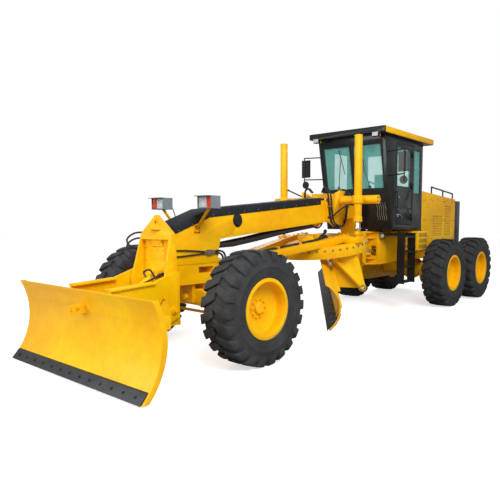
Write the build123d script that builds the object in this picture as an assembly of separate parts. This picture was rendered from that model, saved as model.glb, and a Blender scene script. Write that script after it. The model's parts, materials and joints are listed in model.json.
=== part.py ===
from build123d import *
import math
import os

# Motor grader. Millimetres, +X forward, +Y to the machine's left, +Z up.
# The origin is on the ground, under the middle of the machine's box.

# ---- Driving dimensions -------------------------------------------------------------------
WHEELBASE = 6220            # front axle to the middle of the tandems
TANDEM_SPACING = 1540       # between the two wheels of a tandem
TRACK = 2155
TYRE_R = 662                # 17.5-25 tyre, over the lugs
TYRE_W = 445
LUG_H = 34                  # tread bars over the groove
LUG_COUNT = 16
LUG_HALF = 52               # half the width of one tread bar
LUG_SWEEP = 64              # how far a bar's middle leads its ends
RIM_R = 318                 # bead seat
RIM_FLANGE_R = 352
RIM_W = 400
HUB_R = 130
RUN = 0.3                   # clearance of a pin or face that moves
CLEAR = 6.0                 # clearance between moving pieces

FRONT_AXLE_X = 3140
TANDEM_X = FRONT_AXLE_X - WHEELBASE
PIVOT_X = -760              # articulation pin
WHEEL_Y = TRACK / 2
AXLE_Z = TYRE_R

BEAM_HALF_W = 175           # gooseneck box
BEAM_DEPTH = 360
COVER_RISE = 48             # anti-glare cover over the beam and down its sides
COVER_DROP = 60
BEAM_REAR_X = -600
DROP_FRONT_X = -485         # front face of the box that drops to the hinge
BEAM_REAR_TOP = 2106
BEND_X = 3010
BEND_TOP = 1755
NOSE_X = 3640               # front of the gooseneck, where the dozer mount is bolted on
NOSE_TOP = 1520
NOSE_BOTTOM = 872
HEAD_REAR_X = 2870          # where the beam's deep head ends behind the front axle

TOWER_T = 190               # dozer mount, front to back
TOWER_TOP = 1720
TOWER_SHOULDER_Z = 1500
TOWER_KNEE_Z = 970          # height at which the side plates reach their full depth
TOWER_BOTTOM = 450
TOWER_HALF_TOP = 290
TOWER_HALF_BOTTOM = 365
TOWER_PLATE = 30

DOZER_HALF_W = 1290
DOZER_BOTTOM = 25
DOZER_TOP = 940
DOZER_FRONT_X = 4820
DOZER_PLATE = 22
DOZER_DISH = 150            # depth of the blade's hollow
DOZER_RAKE = 120            # top edge behind the cutting edge
DOZER_END_T = 21            # stiffening plate down each end of the blade
DOZER_EDGE_H = 130
DOZER_EDGE_T = 20
SLOT_R = 185                # locking slot of a push arm, about its pin
DOZER_PIN_X = NOSE_X + TOWER_T - 60
DOZER_PIN_Z = 640
DOZER_PIN_R = 32
DOZER_ARM_Y = TOWER_HALF_BOTTOM + CLEAR     # inner face of a push arm, outside the tower
DOZER_ARM_T = 40
CYL_EYE_W = 60              # half width of the lift cylinder's top eye

DRAWBAR_TILT = 8            # the drawbar and circle are parked with their rear end raised
BALL_X = 2700
BALL_Z = 1060
BALL_R = 60
LINER = 12                  # spherical liner between the ball and the drawbar head
CIRCLE_BACK = 2330          # ball to circle centre, along the drawbar
CIRCLE_R = 780
CIRCLE_BORE = 640
CIRCLE_H = 180
DRAWBAR_T = 110             # drawbar box depth
BLADE_LENGTH = 3660
BLADE_YAW = 38              # angle between the moldboard and the line of travel
BLADE_DROP = 925            # drawbar plane to the cutting edge
BLADE_H = 600
BLADE_BULGE = 165
BLADE_T = 22
BLADE_SHIFT = 280           # the moldboard is parked this far to its left end
EDGE_H = 190                # bolted cutting edge
ARM_S = 470                 # blade arm from the circle's middle, along the moldboard
ARM_T = 36
TIP_Y = 600                 # tip pivot, behind the circle's middle
TIP_Z = -800
TIP_PIN_R = 34

LIFT_X = 440
LIFT_Y = 760
LIFT_TOP = 3000
LIFT_BARREL_R = 62
LIFT_ROD_R = 35
ROD_EYE_GAP = 4            # rod eye over its ball, which swings on a slant
TRUNNION_Z = 2000

RAIL_Y0 = 330               # rear frame rails
RAIL_Y1 = 400
RAIL_BOTTOM = 890
RAIL_TOP = 1150
FRAME_REAR_X = -4700
CAB_FRAME_TOP = 1470

CAB_FLOOR = 1510
CAB_TOP = 3160
CAB_HALF_W = 700
CAB_FRONT_TOP = -490
CAB_FRONT_BOTTOM = -810
CAB_REAR_X = -2010
CAB_WALL = 45
ROOF_TOP = 3262
ROOF_FRONT_X = -330
ROOF_REAR_X = -2300
ROOF_HALF_W = 790

HOOD_FRONT_X = -2080
HOOD_REAR_X = -4080
HOOD_BOTTOM = RAIL_TOP + RUN
HOOD_TOP_FRONT = 2290
HOOD_TOP_REAR = 2170
HOOD_HALF_W = 560
GUARD_REAR_X = -4420
HITCH_REAR_X = -4840

LEAN_Y = 735                # lean pin of a front wheel
LEAN_Z = 520
KINGPIN_Y = 800
EAR_REACH = 49              # kingpin ears, outboard of the kingpin
KINGPIN_Z0 = 585
KINGPIN_Z1 = 815
STEER_ARM = 170             # kingpin to tie rod, along X
AXLE_PIN_Z = 705

TANDEM_Y0 = 650
TANDEM_Y1 = 830
TANDEM_H = 500


# ---- Helpers ------------------------------------------------------------------------------
def box(x0, x1, y0, y1, z0, z1):
    """Axis-aligned block from its six limits."""
    size = (x1 - x0, y1 - y0, z1 - z0)
    return Pos((x0 + x1) / 2, (y0 + y1) / 2, (z0 + z1) / 2) * Box(*size)


def rod(start, end, radius):
    """Round bar between two points."""
    line = Vector(*end) - Vector(*start)
    plane = Plane(origin=start, z_dir=line)
    return plane * extrude(Circle(radius), line.length)


def tube(start, end, radius, wall):
    """Hollow round bar between two points."""
    return rod(start, end, radius) - rod(start, end, radius - wall)


def prism(points, direction):
    """Solid swept from a polygon of 3-D points along a direction."""
    face = Face(Wire.make_polygon([Vector(*p) for p in points], close=True))
    return Part() + Solid.extrude(face, Vector(*direction))


def side_plate(outline, y0, y1):
    """Plate cut to an outline of (x, z) points, between two Y positions."""
    return prism([(x, y0, z) for x, z in outline], (0, y1 - y0, 0))


def cross_plate(outline, x0, x1):
    """Plate cut to an outline of (y, z) points, between two X positions."""
    return prism([(x0, y, z) for y, z in outline], (x1 - x0, 0, 0))


def flat_plate(outline, z0, z1):
    """Plate cut to an outline of (x, y) points, between two Z positions."""
    return prism([(x, y, z0) for x, y in outline], (0, 0, z1 - z0))


def mirrored(shape):
    """The same piece on the machine's other side."""
    return mirror(shape, about=Plane.XZ)


def both(shape):
    """A piece and its mirror image."""
    return shape + mirrored(shape)


def write(name, shape):
    """Write one sub-part."""
    export_step(shape, f"parts/{name}.step")


# ---- Wheels -------------------------------------------------------------------------------
def tyre(x, side):
    """Earthmover tyre: flat-faced segments, each with one chevron bar, cut round to seat on the rim."""
    half = TYRE_W / 2
    groove = TYRE_R - LUG_H
    reach = TYRE_R * math.tan(math.pi / LUG_COUNT)
    outline = [(half, 0), (half, TYRE_R - 100), (half - 66, groove)]
    casing = side_on(outline + [(-y, z) for y, z in reversed(outline)], reach)
    casing &= side_plate([(0, 0), (reach, TYRE_R), (-reach, TYRE_R)], -half - 1, half + 1)
    lead, low = LUG_SWEEP / 2, groove - 70
    bar = prism([
        (LUG_HALF - lead, -half, low), (LUG_HALF + lead, 0, low), (LUG_HALF - lead, half, low),
        (-LUG_HALF - lead, half, low), (lead - LUG_HALF, 0, low), (-LUG_HALF - lead, -half, low),
    ], (0, 0, TYRE_R - low))
    bar &= side_on([(half, low), (half - 48, TYRE_R), (48 - half, TYRE_R), (-half, low)], reach)
    segment = casing + bar
    body = Part() + [Rot(0, 360 * step / LUG_COUNT, 0) * segment for step in range(LUG_COUNT)]
    bead = [(0, half + 4), (RIM_FLANGE_R + 40, half + 4), (RIM_R + RUN, half - 70)]
    face = Face(Wire.make_polygon([Vector(r, w, 0) for r, w in bead + [(r, -w) for r, w in reversed(bead)]]))
    body -= Solid.revolve(face, 360, Axis.Y)
    return Pos(x, side * WHEEL_Y, AXLE_Z) * body


def side_on(outline, reach):
    """Block running along x from -reach to reach, drawn as (y, z)."""
    return cross_plate(outline, -reach, reach)


def rim(x, side, reach):
    """Deep-dish rim with its disc and hub; reach is how far the hub goes inboard."""
    half = RIM_W / 2
    wall = 14
    disc = 20
    section = [
        (RIM_R - wall, -half), (RIM_FLANGE_R, -half), (RIM_FLANGE_R, -half + 12), (RIM_R, -half + 34),
        (RIM_R, half - 34), (RIM_FLANGE_R, half - 12), (RIM_FLANGE_R, half), (RIM_R - wall, half),
        (RIM_R - wall, disc + 18), (HUB_R, disc + 18), (HUB_R - 12, disc + 60), (0, disc + 60),
        (0, disc - 10), (HUB_R - 30, disc - 10), (HUB_R - 30, -reach), (HUB_R, -reach),
        (HUB_R, disc), (RIM_R - wall, disc),
    ]
    face = Face(Wire.make_polygon([Vector(r, w, 0) for r, w in section], close=True))
    body = Part() + Solid.revolve(face, 360, Axis.Y)
    if side < 0:
        body = mirrored(body)
    return Pos(x, side * WHEEL_Y, AXLE_Z) * body


# ---- Front axle ---------------------------------------------------------------------------
def front_axle():
    """Arched beam that rocks on a fore-and-aft pin and carries the lean brackets."""
    outline = [
        (0, 800), (250, 790), (560, 640), (LEAN_Y, LEAN_Z + 50), (LEAN_Y, LEAN_Z - 50),
        (560, 500), (250, 590), (0, 600),
    ]
    half_beam = cross_plate(outline, FRONT_AXLE_X - 70, FRONT_AXLE_X + 70)
    half_beam += rod((FRONT_AXLE_X - 70, LEAN_Y, LEAN_Z), (FRONT_AXLE_X + 70, LEAN_Y, LEAN_Z), 50)
    beam = both(half_beam)
    pin_reach = 170
    beam += rod((FRONT_AXLE_X - pin_reach, 0, AXLE_PIN_Z), (FRONT_AXLE_X + pin_reach, 0, AXLE_PIN_Z), 40)
    lean_bore = rod((FRONT_AXLE_X - 80, LEAN_Y, LEAN_Z), (FRONT_AXLE_X + 80, LEAN_Y, LEAN_Z), 25 + RUN)
    return beam - both(lean_bore)


def lean_bracket():
    """Fork on the lean pin, with the two kingpin ears (left side)."""
    cheek_in = 70 + RUN
    cheek_out = 100
    x = FRONT_AXLE_X
    foot = [
        (LEAN_Y - 45, LEAN_Z - 45), (KINGPIN_Y + EAR_REACH, LEAN_Z - 45), (KINGPIN_Y + EAR_REACH, KINGPIN_Z0),
        (LEAN_Y + 62, KINGPIN_Z0), (LEAN_Y - 45, LEAN_Z + 40),
    ]
    column = [
        (LEAN_Y + 10, LEAN_Z), (KINGPIN_Y + EAR_REACH, LEAN_Z), (KINGPIN_Y + EAR_REACH, KINGPIN_Z0 - 20),
        (KINGPIN_Y + 5, KINGPIN_Z0 + 20), (KINGPIN_Y + 5, KINGPIN_Z1 + 40), (KINGPIN_Y - 60, KINGPIN_Z1 + 40),
    ]
    fork = cross_plate(foot, x + cheek_in, x + cheek_out) + cross_plate(foot, x - cheek_out, x - cheek_in)
    fork += cross_plate(column, x + cheek_in + 6, x + cheek_out + 10)
    fork += rod((x - cheek_out, LEAN_Y, LEAN_Z), (x + cheek_out, LEAN_Y, LEAN_Z), 25)
    ear_out = KINGPIN_Y + EAR_REACH
    low_ear = box(x - cheek_out, x + cheek_out, LEAN_Y + 62, ear_out, KINGPIN_Z0 - 35, KINGPIN_Z0)
    high_ear = box(x - 50, x + cheek_out + 10, KINGPIN_Y - 50, ear_out, KINGPIN_Z1, KINGPIN_Z1 + 40)
    return fork + low_ear + high_ear


def knuckle():
    """Kingpin barrel with its spindle and steering arm (left side)."""
    x = FRONT_AXLE_X
    barrel = rod((x, KINGPIN_Y, KINGPIN_Z0 + RUN), (x, KINGPIN_Y, KINGPIN_Z1 - RUN), 52)
    spindle = rod((x, KINGPIN_Y, AXLE_Z), (x, WHEEL_Y - 160, AXLE_Z), 48)
    spindle += rod((x, WHEEL_Y - 162, AXLE_Z), (x, WHEEL_Y + 4, AXLE_Z), HUB_R - 30 - RUN)
    arm_z0 = KINGPIN_Z0 + 12
    arm = flat_plate([
        (x + 30, KINGPIN_Y + 40), (x - 120, KINGPIN_Y + 50), (x - STEER_ARM - 30, LEAN_Y + 60),
        (x - STEER_ARM - 30, LEAN_Y - 10), (x - 110, LEAN_Y + 10), (x - 40, KINGPIN_Y - 40),
    ], arm_z0, arm_z0 + 30)
    stud = rod((x - STEER_ARM, LEAN_Y, LEAN_Z - 20), (x - STEER_ARM, LEAN_Y, arm_z0 + 5), 22)
    ball = Pos(x - STEER_ARM, LEAN_Y, LEAN_Z) * Sphere(30)
    return barrel + spindle + arm + stud + ball


def tie_rod():
    """Track rod under the steering arms' balls."""
    x = FRONT_AXLE_X - STEER_ARM
    top = LEAN_Z - 30 - RUN
    bar = rod((x, -LEAN_Y + 20, top - 22), (x, LEAN_Y - 20, top - 22), 20)
    eye = rod((x, LEAN_Y, top - 44), (x, LEAN_Y, top), 34)
    return bar + both(eye)


# ---- Front frame --------------------------------------------------------------------------
def beam_top(x):
    """Height of the gooseneck's top edge behind its bend."""
    slope = (BEAM_REAR_TOP - BEND_TOP) / (BEAM_REAR_X - BEND_X)
    return BEND_TOP + slope * (x - BEND_X)


def hinge_lug(z0, z1):
    """Lug from the back of the front frame round the articulation pin."""
    plate = flat_plate([
        (PIVOT_X, -110), (BEAM_REAR_X + 20, -150), (BEAM_REAR_X + 20, 150), (PIVOT_X, 110),
    ], z0, z1)
    return plate + rod((PIVOT_X, 0, z0), (PIVOT_X, 0, z1), 110)


FRONT_LUGS = [(1380, 1440), (900, 960)]     # z0, z1 of the front frame's two hinge lugs
ARTIC_Y = 300
ARTIC_Z = 1120
ARTIC_EYE_X = PIVOT_X + 70
ARTIC_EYE_H = 60
ARTIC_ROD_R = 28
ARTIC_BARREL_R = 48


def gooseneck():
    """Box beam from the front bolster, over the drawbar, down to the articulation hinge."""
    outline = [
        (NOSE_X, NOSE_TOP), (BEND_X, BEND_TOP), (BEAM_REAR_X + 60, beam_top(BEAM_REAR_X + 60)),
        (BEAM_REAR_X, beam_top(BEAM_REAR_X) - 60), (BEAM_REAR_X, 870), (DROP_FRONT_X - 60, 870),
        (DROP_FRONT_X, 1000),
        (DROP_FRONT_X, 1480), (DROP_FRONT_X + 160, beam_top(DROP_FRONT_X + 160) - BEAM_DEPTH),
        (HEAD_REAR_X, beam_top(HEAD_REAR_X) - BEAM_DEPTH + 10), (HEAD_REAR_X + 20, 1280),
        (HEAD_REAR_X, NOSE_BOTTOM), (NOSE_X, NOSE_BOTTOM),
    ]
    body = side_plate(outline, -BEAM_HALF_W, BEAM_HALF_W)
    body -= box(2960, 3200, -BEAM_HALF_W - 1, BEAM_HALF_W + 1, 1000, 1080)
    ear_z0 = AXLE_PIN_Z - 75
    for x0 in (FRONT_AXLE_X - 70 - CLEAR - 45, FRONT_AXLE_X + 70 + CLEAR):
        body += box(x0, x0 + 45, -120, 120, ear_z0, NOSE_BOTTOM + 5)
    body -= rod((FRONT_AXLE_X - 200, 0, AXLE_PIN_Z), (FRONT_AXLE_X + 200, 0, AXLE_PIN_Z), 40 + RUN)
    for z0, z1 in FRONT_LUGS:
        body += hinge_lug(z0, z1)
    body -= rod((PIVOT_X, 0, 800), (PIVOT_X, 0, 1500), 50 + RUN)
    body += Pos(BALL_X, 0, BALL_Z) * Sphere(BALL_R)
    body += rod((BALL_X, 0, BALL_Z), (HEAD_REAR_X + 30, 0, BALL_Z), 32)
    cheek = side_plate([
        (DROP_FRONT_X - 10, 1400), (DROP_FRONT_X - 120, 1460), (BEAM_REAR_X - 5, 1400),
        (BEAM_REAR_X - 25, 1160), (BEAM_REAR_X - 5, 930), (DROP_FRONT_X - 120, 870), (DROP_FRONT_X - 10, 930),
    ], ARTIC_Y - 25, ARTIC_Y)
    cheek += box(DROP_FRONT_X - 90, DROP_FRONT_X - 60, BEAM_HALF_W - 1, ARTIC_Y - 20, 880, 1450)
    lug = flat_plate([
        (BEAM_REAR_X - 20, BEAM_HALF_W + 20), (ARTIC_EYE_X, ARTIC_Y - 45), (ARTIC_EYE_X - 40, ARTIC_Y),
        (ARTIC_EYE_X, ARTIC_Y + 45), (BEAM_REAR_X - 20, ARTIC_Y - 2), (BEAM_REAR_X + 20, BEAM_HALF_W - 5),
    ], ARTIC_Z - 60, ARTIC_Z - ARTIC_EYE_H / 2 - RUN)
    return body + both(cheek + lug)


def beam_cover():
    """Anti-glare cover over the gooseneck, from the tower to the saddle."""
    top_line = [(NOSE_X - 50, NOSE_TOP + 50 * (BEND_TOP - NOSE_TOP) / (NOSE_X - BEND_X)), (BEND_X, BEND_TOP),
                (LIFT_X + 190, beam_top(LIFT_X + 190))]
    cap = [(x, z + RUN) for x, z in top_line] + [(x, z + COVER_RISE) for x, z in reversed(top_line)]
    flap = [(x, z - COVER_DROP) for x, z in top_line] + [(x, z + COVER_RISE) for x, z in reversed(top_line)]
    outside = BEAM_HALF_W + RUN + 8
    return side_plate(cap, -outside, outside) + both(side_plate(flap, BEAM_HALF_W + RUN, outside))


def lift_saddle():
    """Yoke across the gooseneck that carries the two blade-lift cylinders."""
    top = beam_top(LIFT_X)
    tube_x = LIFT_X - LIFT_BARREL_R - 78
    legs = cross_plate([
        (BEAM_HALF_W + RUN, top - 300), (BEAM_HALF_W + 40, top - 300), (BEAM_HALF_W + 210, top + 40),
        (BEAM_HALF_W + 210, top + 150), (BEAM_HALF_W + RUN, top + 60),
    ], tube_x - 60, tube_x + 110)
    bridge = box(tube_x - 60, tube_x + 110, -BEAM_HALF_W - 1, BEAM_HALF_W + 1, top + 26, top + 110)
    arm = rod((tube_x, BEAM_HALF_W + 100, TRUNNION_Z), (tube_x, LIFT_Y + 290, TRUNNION_Z), 68)
    collar = rod((LIFT_X, LIFT_Y, TRUNNION_Z - 60), (LIFT_X, LIFT_Y, TRUNNION_Z + 60), LIFT_BARREL_R + 26)
    cheek = side_plate([
        (LIFT_X + 100, top + 26), (LIFT_X + 60, top - 330), (LIFT_X - 180, top - 440),
        (LIFT_X - 480, top - 330), (LIFT_X - 520, top + 30),
    ], BEAM_HALF_W + RUN, BEAM_HALF_W + 30)
    side = legs + cheek + arm + collar
    side -= rod((LIFT_X, LIFT_Y, 1600), (LIFT_X, LIFT_Y, 2400), LIFT_BARREL_R + RUN)
    return both(side) + bridge


DOZER_CYL_TOP = (NOSE_X + 95, 0, 1010)
DOZER_CYL_EYE = (4380, 0, 560)


def along(start, end, share):
    """Point part of the way from one point to another."""
    return tuple(a + (b - a) * share for a, b in zip(start, end))


def lift_barrels():
    """Barrels of the two blade-lift cylinders and of the dozer cylinder."""
    bottom = TRUNNION_Z - 350
    barrel = rod((LIFT_X, LIFT_Y, bottom), (LIFT_X, LIFT_Y, LIFT_TOP), LIFT_BARREL_R)
    barrel -= rod((LIFT_X, LIFT_Y, bottom - 1), (LIFT_X, LIFT_Y, LIFT_TOP - 40), LIFT_ROD_R + RUN)
    low = along(DOZER_CYL_TOP, DOZER_CYL_EYE, 0.62)
    dozer = rod(DOZER_CYL_TOP, low, 50)
    dozer += rod(
        (DOZER_CYL_TOP[0], -60, DOZER_CYL_TOP[2]), (DOZER_CYL_TOP[0], 60, DOZER_CYL_TOP[2]), 50)
    bore = along(DOZER_CYL_TOP, DOZER_CYL_EYE, 0.1), along(DOZER_CYL_TOP, DOZER_CYL_EYE, 0.7)
    dozer -= rod(*bore, 30 + RUN)
    return both(barrel) + dozer


def dozer_rod():
    """Rod of the dozer lift cylinder."""
    bar = rod(along(DOZER_CYL_TOP, DOZER_CYL_EYE, 0.42), DOZER_CYL_EYE, 30)
    x, _, z = DOZER_CYL_EYE
    return bar + rod((x, -34 + RUN, z), (x, 34 - RUN, z), 46)


LIFT_BALL_R = 45


def lift_ball_point():
    """Centre of the ball under a blade-lift rod, on the drawbar's left outrigger."""
    return (-LIFT_REACH, LIFT_Y, DRAWBAR_T / 2 + 35)


def lift_rods():
    """Rods of the two blade-lift cylinders, which move together."""
    foot_z = drawbar_point(*lift_ball_point())[2] + LIFT_BALL_R + ROD_EYE_GAP
    bar = rod((LIFT_X, LIFT_Y, foot_z + 20), (LIFT_X, LIFT_Y, TRUNNION_Z + 300), LIFT_ROD_R)
    foot = rod((LIFT_X, LIFT_Y, foot_z), (LIFT_X, LIFT_Y, foot_z + 45), 56)
    return both(bar + foot)


def dozer_mount():
    """Tower bolted to the nose: a tall recess between side plates that deepen downwards."""
    x0 = NOSE_X
    deep = NOSE_X + TOWER_T
    shallow = NOSE_X + TOWER_PLATE + 30
    outline = [
        (0, TOWER_TOP), (TOWER_HALF_TOP, TOWER_SHOULDER_Z), (TOWER_HALF_BOTTOM, TOWER_BOTTOM),
        (-TOWER_HALF_BOTTOM, TOWER_BOTTOM), (-TOWER_HALF_TOP, TOWER_SHOULDER_Z),
    ]
    body = cross_plate(outline, x0, deep)
    side_cut = [
        (shallow, TOWER_TOP + 1), (shallow, TOWER_SHOULDER_Z), (deep, TOWER_KNEE_Z),
        (deep + 1, TOWER_KNEE_Z), (deep + 1, TOWER_TOP + 1),
    ]
    body -= side_plate(side_cut, -TOWER_HALF_BOTTOM - 1, TOWER_HALF_BOTTOM + 1)
    shelf_z = TOWER_SHOULDER_Z - 70
    inner_top = TOWER_HALF_TOP - TOWER_PLATE
    inner_bottom = TOWER_HALF_BOTTOM - TOWER_PLATE
    recess = [
        (inner_top, shelf_z), (inner_bottom, TOWER_BOTTOM + 200), (inner_bottom, TOWER_BOTTOM - 1),
        (-inner_bottom, TOWER_BOTTOM - 1), (-inner_bottom, TOWER_BOTTOM + 200), (-inner_top, shelf_z),
    ]
    body -= cross_plate(recess, x0 + TOWER_PLATE, deep + 1)
    body -= rod((x0 - 1, 0, TOWER_TOP - 90), (deep, 0, TOWER_TOP - 90), 20)
    body += side_plate([
        (x0 + TOWER_PLATE - 1, shelf_z + 1), (shallow, shelf_z + 1), (shallow, shelf_z - 20),
        (x0 + TOWER_PLATE - 1, shelf_z - 90),
    ], -100, 100)
    inside = x0 + TOWER_PLATE - 1
    body += box(inside, inside + 15, -190, 190, TOWER_BOTTOM + 40, TOWER_KNEE_Z + 200)
    cx, _, cz = DOZER_CYL_TOP
    lug = box(inside, cx + 50, CYL_EYE_W + RUN, CYL_EYE_W + 30, cz - 60, cz + 60)
    pin_reach = DOZER_ARM_Y + DOZER_ARM_T + 20
    pin = dozer_pin(inner_bottom - 20, pin_reach, DOZER_PIN_R)
    return body + both(lug + pin)


def dozer_pin(y0, y1, radius):
    """Round bar on the axis that the front blade's arms turn about."""
    return rod((DOZER_PIN_X, y0, DOZER_PIN_Z), (DOZER_PIN_X, y1, DOZER_PIN_Z), radius)


def dozer_arc(offset):
    """Arc of the blade's section, from the cutting edge up, moved back by an offset."""
    middle = DOZER_FRONT_X - DOZER_DISH - DOZER_RAKE / 2 - offset
    return ThreePointArc(
        (DOZER_FRONT_X - offset, 0, DOZER_BOTTOM), (middle, 0, (DOZER_BOTTOM + DOZER_TOP) / 2),
        (DOZER_FRONT_X - DOZER_RAKE - offset, 0, DOZER_TOP))


def curved_plate(front, back, half_w):
    """Plate between two arcs in the XZ plane, reaching half_w to both sides."""
    ends = [Line(front @ 1, back @ 1), Line(back @ 0, front @ 0)]
    face = Face(Wire(front.edges() + back.edges() + [line.edge() for line in ends]))
    return Pos(0, -half_w, 0) * (Part() + Solid.extrude(face, Vector(0, 2 * half_w, 0)))


def dozer_blade():
    """Curved front blade on two deep push arms, with a tow clevis."""
    x = DOZER_FRONT_X
    blade = curved_plate(dozer_arc(0), dozer_arc(DOZER_PLATE), DOZER_HALF_W)
    end_plate = curved_plate(dozer_arc(0), dozer_arc(3 * DOZER_PLATE), DOZER_END_T / 2)
    blade += both(Pos(0, DOZER_HALF_W + DOZER_END_T / 2 - 1, 0) * end_plate)
    frame_x = x - DOZER_DISH - DOZER_RAKE
    arm = side_plate([
        (DOZER_PIN_X - 80, DOZER_PIN_Z - 90), (DOZER_PIN_X - 90, TOWER_KNEE_Z + 105),
        (DOZER_PIN_X - 40, TOWER_KNEE_Z + 105), (DOZER_PIN_X + 250, TOWER_KNEE_Z + 10),
        (frame_x, DOZER_TOP + 10), (frame_x, 330),
        (DOZER_PIN_X + 330, DOZER_PIN_Z - 180), (DOZER_PIN_X + 180, DOZER_PIN_Z - 190),
    ], DOZER_ARM_Y, DOZER_ARM_Y + DOZER_ARM_T)
    arm -= dozer_pin(DOZER_ARM_Y - 1, DOZER_ARM_Y + DOZER_ARM_T + 1, DOZER_PIN_R + RUN)
    slot = []
    for radius, angles in ((SLOT_R + 24, (-12, 8, 28, 48)), (SLOT_R - 24, (48, 28, 8, -12))):
        for angle in angles:
            turn = math.radians(angle)
            slot.append((DOZER_PIN_X + radius * math.cos(turn), DOZER_PIN_Z + radius * math.sin(turn)))
    arm -= side_plate(slot, DOZER_ARM_Y - 1, DOZER_ARM_Y + DOZER_ARM_T + 1)
    flange = side_plate([
        (DOZER_PIN_X + 250, TOWER_KNEE_Z + 9), (frame_x, DOZER_TOP + 9), (frame_x, DOZER_TOP - 11),
        (DOZER_PIN_X + 250, TOWER_KNEE_Z - 11),
    ], DOZER_ARM_Y - 60, DOZER_ARM_Y + DOZER_ARM_T + 30)
    ex, _, ez = DOZER_CYL_EYE
    blade += both(arm + flange)
    blade += box(ex - 30, ex + 60, -DOZER_ARM_Y - 1, DOZER_ARM_Y + 1, ez - 230, ez - 130)
    blade += both(side_plate([
        (ex - 28, ez - 140), (ex - 40, ez - 20), (ex - 30, ez + 30), (ex + 35, ez + 30), (ex + 50, ez - 140),
    ], 34, 66))
    rib_x = x - DOZER_PLATE
    for y in (-900, 0, 900):
        blade += side_plate([
            (rib_x - 60, 130), (rib_x - DOZER_DISH - 120, 260), (rib_x - DOZER_DISH - 150, 700),
            (rib_x - DOZER_DISH - 95, 880), (rib_x - DOZER_DISH - 40, 700), (rib_x - DOZER_DISH - 60, 300),
        ], y - 10, y + 10)
    blade += box(frame_x - 110, frame_x - 10, -DOZER_HALF_W + 60, DOZER_HALF_W - 60, 640, 760)
    clevis = side_plate([(x - 215, 780), (x - 215, 680), (x - 60, 700), (x - 60, 760)], -60, 60)
    clevis -= side_plate([(x - 150, 790), (x - 150, 670), (x, 670), (x, 790)], -30, 30)
    clevis -= rod((x - 105, -70, 730), (x - 105, 70, 730), 20)
    return blade + clevis


def dozer_edge():
    """Cutting edge: a flat bar across the foot of the front blade."""
    face = dozer_arc(-RUN)
    foot = face @ 0
    top = face @ (DOZER_EDGE_H / face.length)
    return side_plate([
        (foot.X, foot.Z), (top.X, top.Z), (top.X + DOZER_EDGE_T, top.Z - 4), (foot.X + DOZER_EDGE_T, foot.Z),
    ], -DOZER_HALF_W, DOZER_HALF_W)


# ---- Drawbar, circle and moldboard, drawn level and then tilted about the ball --------------
def on_drawbar(shape):
    """Place a piece drawn with the ball at its origin and the drawbar running along -X."""
    return Pos(BALL_X, 0, BALL_Z) * Rot(0, DRAWBAR_TILT, 0) * shape


def drawbar_point(x, y, z):
    """A drawbar point in the machine's frame."""
    angle = math.radians(DRAWBAR_TILT)
    return (
        BALL_X + x * math.cos(angle) + z * math.sin(angle),
        y,
        BALL_Z - x * math.sin(angle) + z * math.cos(angle),
    )


def drawbar_ball():
    """Spherical liner that lets the drawbar swing and lift on the ball."""
    liner = Sphere(BALL_R + LINER) - Sphere(BALL_R + RUN) - rod((0, 0, 0), (120, 0, 0), 48)
    return on_drawbar(Part() + liner)


LIFT_REACH = (BALL_X - LIFT_X) / math.cos(math.radians(DRAWBAR_TILT))


def drawbar():
    """A-shaped drawbar with the plate that carries the circle."""
    half = DRAWBAR_T / 2
    arm = flat_plate([
        (-60, 90), (-CIRCLE_BACK + 300, 540), (-CIRCLE_BACK - 200, 540),
        (-CIRCLE_BACK - 200, 410), (-CIRCLE_BACK + 250, 410), (-560, 0), (-60, 0),
    ], -half, half)
    plate = flat_plate([
        (-CIRCLE_BACK + 620, 411), (-CIRCLE_BACK - 560, 411), (-CIRCLE_BACK - 560, 0), (-CIRCLE_BACK + 620, 0),
    ], -half, -half + 40)
    outrigger = box(-LIFT_REACH - 90, -LIFT_REACH + 90, 400, LIFT_Y + 60, -half, half - 20)
    x, y, z = lift_ball_point()
    stud = rod((x, y, 0), (x, y, z), 25) + Pos(x, y, z) * Sphere(LIFT_BALL_R)
    body = both(arm + plate + outrigger + stud) + rod((0, 0, -85), (0, 0, 85), 105)
    body = body - Sphere(BALL_R + LINER + RUN) - rod((0, 0, 0), (150, 0, 0), 58)
    return on_drawbar(body)


def blade_frame(shape):
    """Place a piece drawn in the moldboard's frame: along X, circle centre at the origin."""
    return on_drawbar(Pos(-CIRCLE_BACK, 0, 0) * Rot(0, 0, BLADE_YAW) * shape)


def along_blade(points, x0, x1):
    """Plate cut to (y, z) points of the moldboard's frame, between two X positions."""
    return cross_plate(points, x0, x1)


RING_TOP = -DRAWBAR_T / 2 - RUN
RING_BOTTOM = RING_TOP - CIRCLE_H


def circle():
    """Turning ring under the drawbar with its two blade arms."""
    ring = rod((0, 0, RING_BOTTOM), (0, 0, RING_TOP), CIRCLE_R)
    ring -= rod((0, 0, RING_BOTTOM - 1), (0, 0, RING_TOP + 1), CIRCLE_BORE)
    web = along_blade([
        (150, RING_BOTTOM + 2), (540, RING_BOTTOM + 2), (575, RING_BOTTOM - 120),
        (TIP_Y + 60, TIP_Z - 30), (TIP_Y, TIP_Z - 60), (TIP_Y - 50, TIP_Z), (170, RING_BOTTOM - 30),
    ], ARM_S, ARM_S + ARM_T)
    web += box(ARM_S, ARM_S + ARM_T, -520, 540, RING_BOTTOM - 18, RING_BOTTOM + 20)
    strut = rod((ARM_S + ARM_T / 2, 180, RING_BOTTOM - 10), (ARM_S + ARM_T / 2, TIP_Y, TIP_Z), 40)
    arm = web + strut + rod((ARM_S - 12, TIP_Y, TIP_Z), (ARM_S + ARM_T + 12, TIP_Y, TIP_Z), 62)
    arm -= rod((ARM_S - 100, TIP_Y, TIP_Z), (ARM_S + 100, TIP_Y, TIP_Z), TIP_PIN_R + RUN)
    return blade_frame(ring + arm + mirror(arm, about=Plane.YZ))


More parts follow.
